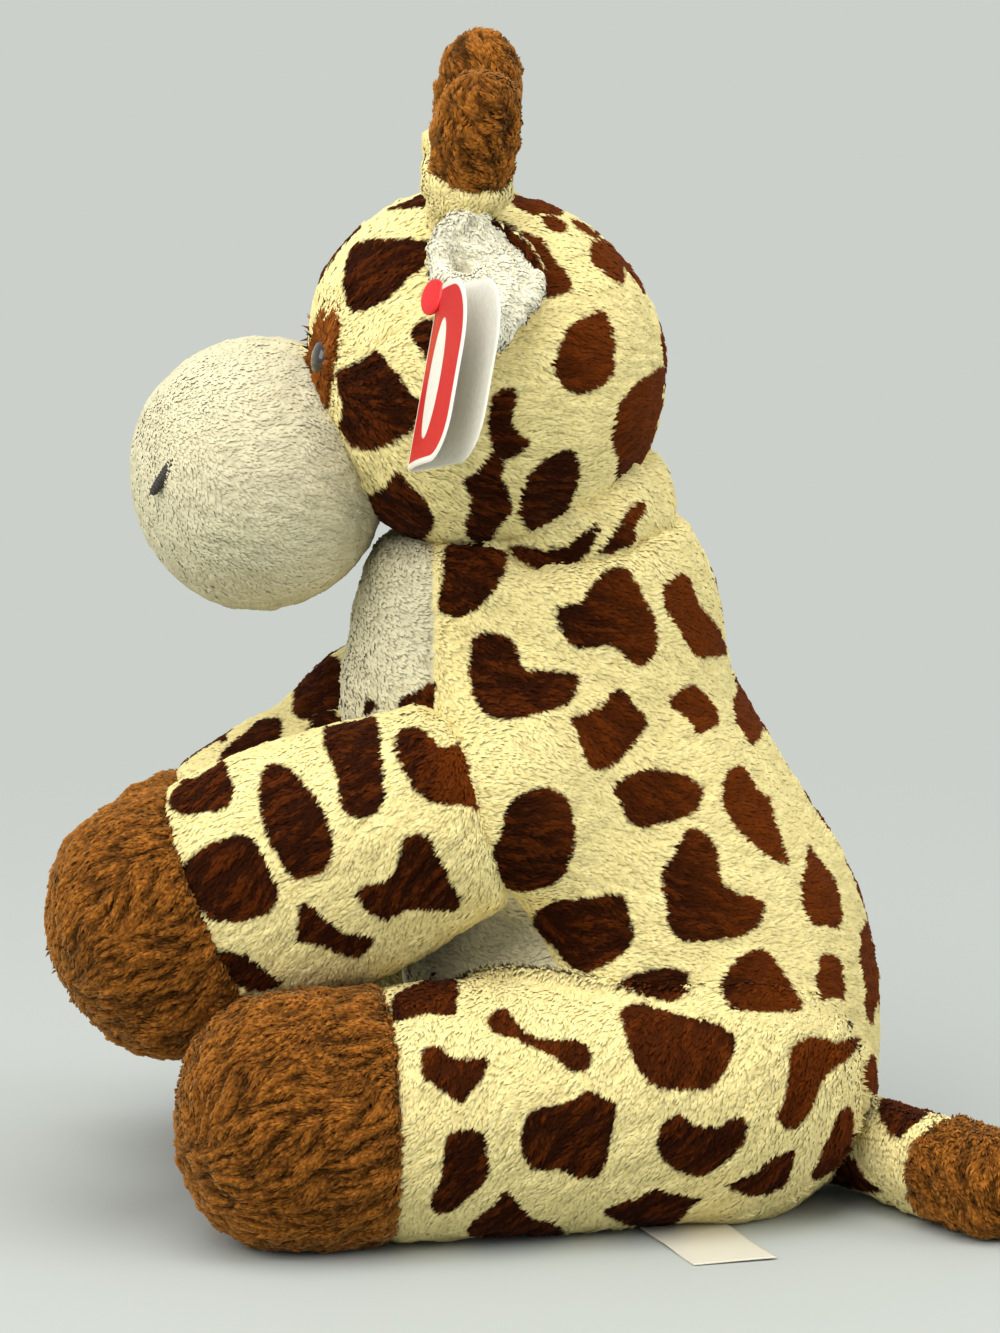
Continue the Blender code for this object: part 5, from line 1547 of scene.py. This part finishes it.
for side, word in ((1, "left"), (-1, "right")):
    splay = HORN_SPLAY[side]
    way = (side * math.sin(splay), math.sin(HORN_LEAN), math.cos(splay))
    leg = leg_frame(HORN_FOOT, way, side)
    stem = plush_piece(
        "horn_stem_" + word, leg_skin(leg, STEM_ROWS, seam_fit(leg)), spotted_plush, "curly",
        leg_comb(leg, 0.3), riding("head"), 540 + 5 * side,
        covered=lambda points: ball_gap(points, HEAD_CENTRE, HEAD_AXES) < -1.0,
    )
    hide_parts("horn_stem_" + word)
    knob = plush_piece(
        "horn_tip_" + word, leg_skin(leg, KNOB_ROWS, seam_fit(leg)), brown_plush, "knob",
        leg_comb(leg, -0.5), riding("head"), 560 + 5 * side,
    )
    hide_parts("horn_tip_" + word)

# Ears
# A padded leaf of two layers folded down over the side of the head, sewn on beside the horn:
# spotted plush outside, pale curly pile inside, which rolls over in a thick rim in front.
# Places are in the ear's own plane, from its outline in the photograph.
LINING = (0.83, 0.80, 0.64)
LINING_DEEP = (0.76, 0.71, 0.50)
EAR_ROOT = np.array((26.34, -47.14, 202.27))
EAR_ACROSS = np.array((0.40737, -0.88284, -0.23378))
EAR_ALONG = np.array((0.74005, 0.46910, -0.48194))
EAR_OUT = np.array((0.53514, 0.02331, 0.84444))
LINING_OUTLINE = (
    (428, 268), (429, 252), (435, 237), (445, 225), (456, 219), (469, 217), (482, 221), (494, 230),
    (505, 240), (516, 249), (526, 260), (535, 272), (542, 283), (543, 293), (538, 304), (527, 316),
    (516, 330), (503, 347), (490, 357), (476, 352), (461, 336), (447, 314), (436, 291),
)
EAR_BACK_OUTLINE = (
    (430, 268), (431, 253), (437, 239), (447, 228), (457, 222), (470, 220), (484, 221), (497, 227),
    (511, 236), (524, 246), (536, 260), (544, 275), (539, 291), (534, 303), (523, 314), (512, 327),
    (500, 343), (489, 352), (477, 347), (464, 332), (450, 310), (440, 288),
)
EAR_OUTLINES = (
    ((476, 240), (480, 216), (498, 214), (518, 228), (536, 243), (552, 262), (553, 281),
     (538, 285), (522, 268), (506, 252), (490, 243)),
)
EAR_FOLD_ENDS = ((482, 228), (545, 276))
EAR_HOLLOW = (463, 279)
EAR_HOLLOW_DEPTH = 3.4
EAR_HOLLOW_REACH = 2.6
EAR_RIM = 1.8
EAR_CROWN = 1.6
EAR_FOLD = 3.0
EAR_ROOT_SWELL = 8.5
EAR_STEP = 0.55


def ear_places(pixels):
    """Places in the ear's own plane under pixels of the photograph."""
    pixels = np.array(pixels, float)
    way = pixel_way(pixels[:, :1], pixels[:, 1:])
    far = ((EAR_ROOT - camera_spot) @ EAR_OUT) / (way @ EAR_OUT)
    away = camera_spot + way * far[:, None] - EAR_ROOT
    return np.column_stack((away @ EAR_ACROSS, away @ EAR_ALONG))


def pad_skin(outline, top, bottom, lay, step=EAR_STEP):
    """A closed pad inside a flat outline.

    top and bottom give its heights from the flat places and how deep inside they are, and lay
    puts them in space.
    """
    middle = outline.mean(axis=0)
    reach = np.linalg.norm(outline - middle, axis=1).max()
    shares = np.linspace(0.02, 1.0, max(6, int(reach / step)))
    shares = np.append(shares, 1.0)
    shares[:-1] = 1.0 - (1.0 - shares[:-1]) ** 1.25
    rings = []
    for surface, order in ((top, shares), (bottom, shares[-2::-1])):
        for share in order:
            flat = middle + share * (outline - middle)
            deep = (1.0 - share) * np.linalg.norm(outline - middle, axis=1)
            rings.append(lay(flat, surface(flat, deep)))
    return ringed(np.array(rings))


def edge_round(deep, thick):
    """The height of a rounded edge this deep inside it."""
    part = np.clip(deep / thick, 0.0, 1.0)
    return thick * np.sqrt(np.maximum(1.0 - (1.0 - part) ** 2, 0.0))


def ear_lay(flat, high):
    """Points in space from places in the ear's plane and heights over it."""
    root_side = 1.0 - smooth_step(flat[:, 1], -9.0, 7.0)
    place = EAR_ROOT + flat[:, :1] * EAR_ACROSS + flat[:, 1:] * EAR_ALONG + high[:, None] * EAR_OUT
    return place + toward * (EAR_ROOT_SWELL * root_side)[:, None]


*ear_fold, ear_hollow = ear_places((*EAR_FOLD_ENDS, EAR_HOLLOW))


def ear_sunk(flat, deep):
    """How deep the ear sinks at these places, round its one hollow."""
    away = np.linalg.norm(flat - ear_hollow, axis=1) / EAR_HOLLOW_REACH
    return EAR_HOLLOW_DEPTH * np.exp(-(away**2)) * smooth_step(deep, 1.0, 4.0)


def ear_band(flat):
    """1 along the part of the ear's upper edge where its back folds over, else 0."""
    way = ear_fold[1] - ear_fold[0]
    along = (flat - ear_fold[0]) @ way / (way @ way)
    away = np.linalg.norm(flat - ear_fold[0] - np.clip(along, 0.0, 1.0)[:, None] * way, axis=1)
    return (1.0 - smooth_step(away, 4.0, 6.0)) * plateau(along, (-0.05, 0.12), (0.88, 1.05))


def lining_top(flat, deep):
    """The lining's face: full, with a thick rolled rim in front and one hollow behind it."""
    front = smooth_step(flat[:, 0] - 0.35 * flat[:, 1], -9.0, 4.0)
    band = ear_band(flat)
    rim = EAR_RIM * front * np.exp(-(((deep - 3.6) / 2.4) ** 2)) * (1.0 - band)
    crown = EAR_CROWN * smooth_step(deep, 1.5, 6.5)
    edge = 0.6 + edge_round(deep, 2.4) * (1.0 - 0.5 * band)
    return edge + rim + crown - 1.5 * ear_sunk(flat, deep)


def lining_bottom(flat, deep):
    """The lining's hidden side."""
    return 0.4 - edge_round(deep, 0.9) - ear_sunk(flat, deep)


def back_top(flat, deep):
    """The spotted layer's side against the lining. It folds over the lining's edge at the top."""
    fold = EAR_FOLD * ear_band(flat) * plateau(deep, (-0.1, 0.8), (1.6, 3.4))
    return -0.4 - 0.3 * smooth_step(deep, 0.3, 1.5) - ear_sunk(flat, deep) + fold


def back_bottom(flat, deep):
    """The spotted layer's outer side, against the head."""
    return -0.7 - edge_round(deep, 1.5) - ear_sunk(flat, deep)


def other_side(skin):
    """The mirror image of a skin across the toy's middle."""
    points, faces, chart = skin
    four = faces[:, 3:] >= 0
    order = np.where(four, faces[:, [3, 2, 1, 0]], faces[:, [2, 1, 0, 3]])
    maps = np.where(four[..., None], chart[:, [3, 2, 1, 0]], chart[:, [2, 1, 0, 3]])
    return points * (-1.0, 1.0, 1.0), order, maps


def ear_comb(side):
    """The pile of an ear runs from its root to its end, and fans out a little."""
    flip = (side, 1.0, 1.0)
    return lambda points: EAR_ALONG * flip + 0.25 * (points - EAR_ROOT * flip) * 0.1


lining_plush = plush("lining_plush", LINING, LINING_DEEP, (0.84, 1.04), (0.86, 1.06))
lining_flat, back_flat = (
    rounded(ear_places(outline), 6) for outline in (LINING_OUTLINE, EAR_BACK_OUTLINE)
)
lining_skin = pad_skin(lining_flat, lining_top, lining_bottom, ear_lay)
back_skin = pad_skin(back_flat, back_top, back_bottom, ear_lay)
ear_spots = seen_spots(EAR_OUTLINES, bvh_of(back_skin))
ear_spots += [(c - 3.0 * EAR_OUT, -n, e, u, o) for c, n, e, u, o in ear_spots]
for side, word in ((1, "left"), (-1, "right")):
    skins, spots = (lining_skin, back_skin), ear_spots
    if side < 0:
        skins, spots = [other_side(skin) for skin in skins], mirrored_spots(ear_spots)
    lining = plush_piece(
        "ear_lining_" + word, skins[0], lining_plush, "lining", ear_comb(side),
        riding("ear_" + word), 600 + 5 * side,
    )
    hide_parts("ear_lining_" + word)
    back = plush_piece(
        "ear_back_" + word, skins[1], spotted_plush, "curly", ear_comb(side),
        riding("ear_" + word), 620 + 5 * side, spots,
    )
    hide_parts("ear_back_" + word)

# Eyes
# Small domed plastic safety eyes, each in a patch of furry brown plush sewn to the head.
# Their stems go through the cloth into washers inside the head.
PATCH_BROWN = (0.27, 0.080, 0.012)
PATCH_DEEP = (0.11, 0.028, 0.005)
EYE_SEAT = np.array((14.8, -70.9, 178.0))
EYE_WAY = np.array((0.235, -0.957, 0.169))
EYE_ROWS = (
    (-5.0, 0.3), (-5.0, 1.5), (-4.0, 1.6), (0.4, 1.6), (0.9, 2.6), (1.2, 4.0), (1.5, 4.2),
    (1.8, 4.2), (2.5, 3.95), (3.3, 3.1), (3.8, 1.9), (4.05, 0.3),
)
PATCH_HALF_WIDTH = 6.0
PATCH_HALF_HEIGHT = 10.5
PATCH_THICK = 1.0
PATCH_OPENING = 3.4


def simple_finish(name, colour, deep, roughness, scale, coat=0.0):
    """A finish of one colour with faint uneven patches."""
    made, shader, node, link = noded(name)
    uneven = ranged(node, link, noise_value(node, link, scale, 4.0), 0.35, 0.70)
    link(mixed(node, link, uneven, colour, deep), shader.inputs["Base Color"])
    rougher = ranged(node, link, uneven, 0.0, 1.0, roughness, min(1.0, roughness * 1.25))
    link(rougher, shader.inputs["Roughness"])
    shader.inputs["Coat Weight"].default_value = coat
    return made


def finished(name, skin, finish, body, values=None):
    """A plain piece from its skin, riding one body."""
    points, faces, chart = skin
    thing = made_object(name, points, faces, chart, finish, values or {})
    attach(thing, body)
    slot_of(finish)
    return thing


def tube_skin(foot, way, rows, step, count):
    """A small round piece from its rows along an axis."""
    way = unit(np.array(way, float))
    return tube(foot, way, *tangents(way), eased(rows, step), count)


patch_plush = plush("patch_plush", PATCH_BROWN, PATCH_DEEP, (0.55, 1.20), (0.60, 1.25), 0.0)
eye_plastic = simple_finish(
    "eye_plastic", (0.012, 0.007, 0.005), (0.025, 0.012, 0.008), 0.10, 300.0, 0.6
)
washer_plastic = simple_finish(
    "washer_plastic", (0.75, 0.75, 0.73), (0.62, 0.62, 0.60), 0.45, 400.0
)
patch_turns = 2 * math.pi * np.arange(72) / 72
patch_outline = np.column_stack(
    (PATCH_HALF_WIDTH * np.cos(patch_turns), PATCH_HALF_HEIGHT * np.sin(patch_turns))
)


def patch_lay(seat, way):
    """Places round an eye laid on the head's skin, and heights over it."""
    east, north = tangents(way)

    def lay(flat, high):
        plane = seat + flat[:, :1] * east + flat[:, 1:] * north
        away = plane - HEAD_CENTRE
        on_head = HEAD_CENTRE + away / np.linalg.norm(away / HEAD_AXES, axis=1, keepdims=True)
        out = unit((on_head - HEAD_CENTRE) / HEAD_AXES**2)
        return on_head + out * high[:, None]

    return lay


for side, word in ((1, "left"), (-1, "right")):
    flip = np.array((side, 1.0, 1.0))
    seat, way = EYE_SEAT * flip, unit(EYE_WAY * flip)
    north = tangents(way)[1]
    patch_skin = pad_skin(
        patch_outline, lambda flat, deep: edge_round(deep, PATCH_THICK),
        lambda flat, deep: -0.8 * edge_round(deep, 0.6), patch_lay(seat, way),
    )
    patch = plush_piece(
        "eye_patch_" + word, patch_skin, patch_plush, "fringe",
        lambda points: points - seat + 0.2 * north, riding("head"), 640 + 5 * side,
        covered=lambda points: (np.linalg.norm(points - seat, axis=1) < PATCH_OPENING)
        | (ball_gap(points, MUZZLE_CENTRE, MUZZLE_AXES) < -0.5),
    )
    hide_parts("eye_patch_" + word)
    eye = finished("eye_" + word, tube_skin(seat, way, EYE_ROWS, 0.3, 48), eye_plastic, "head")
    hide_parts("eye_" + word)
    washer = bpy.data.objects["eye_washer_" + word]
    washer.data.materials.clear()
    washer.data.materials.append(washer_plastic)

# Nostrils
# A short bar of black embroidery thread on each side of the muzzle's front, its stitches
# standing out in small ridges.
NOSTRIL_MIDDLE = np.array((24.0, -105.4, 155.2))
NOSTRIL_TILT = math.radians(32.0)
NOSTRIL_ROWS = (
    (-4.5, 0.1), (-4.4, 0.5), (-4.0, 0.8), (-2.5, 1.0), (0.0, 1.05), (2.5, 1.0), (4.0, 0.8),
    (4.4, 0.5), (4.5, 0.1),
)
STITCH_HIGH = 0.10
black_thread = simple_finish(
    "black_thread", (0.012, 0.009, 0.008), (0.045, 0.034, 0.028), 0.55, 1500.0
)
way = np.array((0.0, math.sin(NOSTRIL_TILT), math.cos(NOSTRIL_TILT)))
for side, word in ((1, "left"), (-1, "right")):
    middle = NOSTRIL_MIDDLE * (side, 1.0, 1.0)
    points, faces, chart = tube_skin(middle, way, NOSTRIL_ROWS, 0.2, 28)
    stitch = STITCH_HIGH * np.sin((points - middle) @ way * 9.0 + 2.0 * points[:, 0])
    points = points + normals_of(points, faces) * stitch[:, None]
    nostril = finished("nostril_" + word, (points, faces, chart), black_thread, "head")
    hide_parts("nostril_" + word)

# Swing tag
# A folded card with a red face and off-white inner leaves, hung from the left ear by a plastic
# pin. It carries no print but a plain pale border and a plain pale oval.
FOLD_TOP = np.array((41.0, -47.3, 197.6))
FOLD_FOOT = np.array((49.2, -53.9, 161.0))
FRONT_SIDEWAYS = np.array((0.945, 0.215, 0.245))
BACK_SIDEWAYS = np.array((0.885, 0.395, 0.245))
TAG_WIDTH = 34.0
TAG_HEIGHT = 38.5
TAG_THICK = 0.5
TAG_BORDER = 1.3
LEAF_LIFT = 0.8
PAPER = (0.80, 0.77, 0.68)
PAPER_DEEP = (0.76, 0.73, 0.63)
tag_down = unit(FOLD_FOOT - FOLD_TOP)
TAG_CORNERS = (
    (TAG_WIDTH, 0.0, 15.0), (TAG_WIDTH, TAG_HEIGHT, 10.0), (0.0, TAG_HEIGHT, 1.0), (0.0, 0.0, 1.0),
)


def card_outline():
    """The outline of a tag's leaf: sideways from the fold, and down from the top."""
    rows = []
    for start, (x, y, radius) in zip((-90.0, 0.0, 90.0, 180.0), TAG_CORNERS):
        centre_x = x - radius if x > 0 else radius
        centre_y = y - radius if y > 0 else radius
        for turn in np.radians(np.linspace(start, start + 90.0, 13)):
            rows.append((centre_x + radius * math.cos(turn), centre_y + radius * math.sin(turn)))
    corners = np.array(rows)
    fine = []
    for a, b in zip(corners, np.roll(corners, -1, axis=0)):
        count = max(1, int(np.linalg.norm(b - a) / 0.8))
        fine += [a + (b - a) * i / count for i in range(count)]
    return np.array(fine)


def card_lay(sideways, bow):
    """Places of a leaf in space: bowed a little, with its thickness along its face."""
    out = unit(np.cross(tag_down, sideways))
    if out[1] > 0:
        out = -out

    def lay(flat, high):
        high = high + bow * np.sin(math.pi * flat[:, 0] / TAG_WIDTH)
        across = FOLD_TOP + flat[:, :1] * sideways
        return across + flat[:, 1:] * tag_down + high[:, None] * out

    return lay


def card_finish(name, face):
    """Coated card. face is the colour of its printed side, within a plain border."""
    made, shader, node, link = noded(name)
    grain = ranged(node, link, noise_value(node, link, 900.0, 4.0), 0.35, 0.7)
    paper = mixed(node, link, grain, PAPER, PAPER_DEEP)
    ink = mixed(node, link, grain, face, tuple(part * 0.88 for part in face))
    printed = node("ShaderNodeAttribute", attribute_name="printed").outputs["Fac"]
    inked = ranged(node, link, printed, -0.08, 0.08)
    link(mixed(node, link, inked, paper, ink), shader.inputs["Base Color"])
    shader.inputs["Roughness"].default_value = 0.50
    shader.inputs["Specular IOR Level"].default_value = 0.25
    return made


card = card_outline()
red_card = card_finish("red_card", (0.60, 0.010, 0.008))
pale_card = card_finish("pale_card", (0.78, 0.75, 0.66))
OVAL_MIDDLE = np.array((15.5, 20.5))
OVAL_HALVES = np.array((6.0, 12.5))
for name, finish, sideways, bow, body in (
    ("swing_tag_front", red_card, unit(FRONT_SIDEWAYS), 0.9, "swing_tag_leaf"),
    ("swing_tag_back", pale_card, unit(BACK_SIDEWAYS), -0.8, "swing_tag"),
):
    lay = card_lay(sideways, bow)
    half = TAG_THICK / 2
    lift = LEAF_LIFT if body == "swing_tag_leaf" else 0.0
    skin = pad_skin(
        card, lambda flat, deep: lift + np.minimum(deep, half),
        lambda flat, deep: lift - np.minimum(deep, half), lay, 0.4,
    )
    points = skin[0]
    out = unit(np.cross(tag_down, sideways))
    skew = sideways @ tag_down
    grid = np.array((sideways - skew * tag_down, tag_down - skew * sideways))
    grid /= 1.0 - skew**2
    flat = (points - FOLD_TOP) @ grid.T
    inside = -signed_distance(flat, card)
    oval = (np.linalg.norm((flat - OVAL_MIDDLE) / OVAL_HALVES, axis=1) - 1.0) * OVAL_HALVES.min()
    facing = normals_of(points, skin[1]) @ (out if out[1] < 0 else -out)
    printed = np.minimum(np.minimum(inside - TAG_BORDER, oval), np.where(facing > 0.3, 9.0, -9.0))
    leaf = finished(name, skin, finish, body, {"printed": printed})
    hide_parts(name)

# Tag pin
# A red plastic pin with a thin stem and a flat round head, pushed through the tag and the ear.
PIN_HEAD = np.array((44.5, -49.3, 196.0))
PIN_WAY = np.array((0.48, -0.82, 0.32))
PIN_ROWS = (
    (-6.0, 0.1), (-5.9, 0.55), (-0.3, 0.55), (-0.1, 1.4), (0.0, 3.4), (0.25, 3.8), (0.7, 3.8),
    (1.0, 3.3), (1.1, 1.5), (1.1, 0.1),
)
red_pin_plastic = simple_finish(
    "red_pin_plastic", (0.72, 0.008, 0.010), (0.60, 0.006, 0.008), 0.22, 400.0
)
pin_skin = tube_skin(PIN_HEAD, PIN_WAY, PIN_ROWS, 0.25, 40)
pin = finished("tag_pin", pin_skin, red_pin_plastic, "ear_left")
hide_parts("tag_pin")

# Label
# A plain strip of pale satin ribbon, caught under the seat at one end and lying flat on the table.
LABEL_ROOT = np.array((39.8, 1.6))
LABEL_YAW = math.radians(18.0)
LABEL_LENGTH = 35.0
LABEL_WIDTH = 18.0
LABEL_THICK = 0.25
LABEL_STEPS = (57, 29)
woven_label, shader, node, link = noded("woven_label")
weave_place = node("ShaderNodeTexCoord")
weave = node("ShaderNodeTexWave", Scale=700.0, Distortion=0.4)
link(weave_place.outputs["Object"], weave.inputs["Vector"])
ribbon = mixed(node, link, weave.outputs["Fac"], (0.76, 0.72, 0.60), (0.68, 0.64, 0.52))
faded = ranged(node, link, noise_value(node, link, 60.0), 0.3, 0.7, 0.0, 0.3)
ribbon = mixed(node, link, faded, ribbon, (0.66, 0.62, 0.50))
link(ribbon, shader.inputs["Base Color"])
shader.inputs["Roughness"].default_value = 0.42
label_way = np.array((math.cos(LABEL_YAW), math.sin(LABEL_YAW)))
label_side = np.array((-label_way[1], label_way[0]))
rows, columns = LABEL_STEPS
along = np.linspace(0.0, LABEL_LENGTH, rows)
across = np.linspace(-LABEL_WIDTH / 2, LABEL_WIDTH / 2, columns)
along, across = (part.ravel() for part in np.meshgrid(along, across, indexing="ij"))
wave = 0.22 + 0.16 * np.sin(along / 5.1 + 0.12 * across) * smooth_step(along, 8.0, 20.0)
flat = LABEL_ROOT + along[:, None] * label_way + across[:, None] * label_side
label_top = np.column_stack((flat, wave + LABEL_THICK + 0.05))
label_low = np.column_stack((flat, wave + 0.02))
index = np.arange(rows * columns).reshape(rows, columns)
quads = np.stack((index[:-1, :-1], index[1:, :-1], index[1:, 1:], index[:-1, 1:]), axis=-1)
quads = quads.reshape(-1, 4)
edge = np.concatenate((index[:-1, 0], index[-1, :-1], index[:0:-1, -1], index[0, :0:-1]))
after = np.roll(edge, -1)
count = rows * columns
walls = np.stack((after, edge, edge + count, after + count), axis=-1)
under = quads[:, ::-1]
faces = np.vstack((quads, under + count, walls))
share_map = np.column_stack(
    (along / LABEL_LENGTH * 0.9 + 0.05, (across / LABEL_WIDTH + 0.5) * 0.45 + 0.02)
)
chart = np.concatenate(
    (share_map[quads], share_map[under] + (0.0, 0.5), share_map[walls % count] + (0.0, 0.03))
)
label_points = np.vstack((label_top, label_low))
sewn_label = finished("sewn_label", (label_points, faces, chart), woven_label, "torso")
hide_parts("sewn_label")
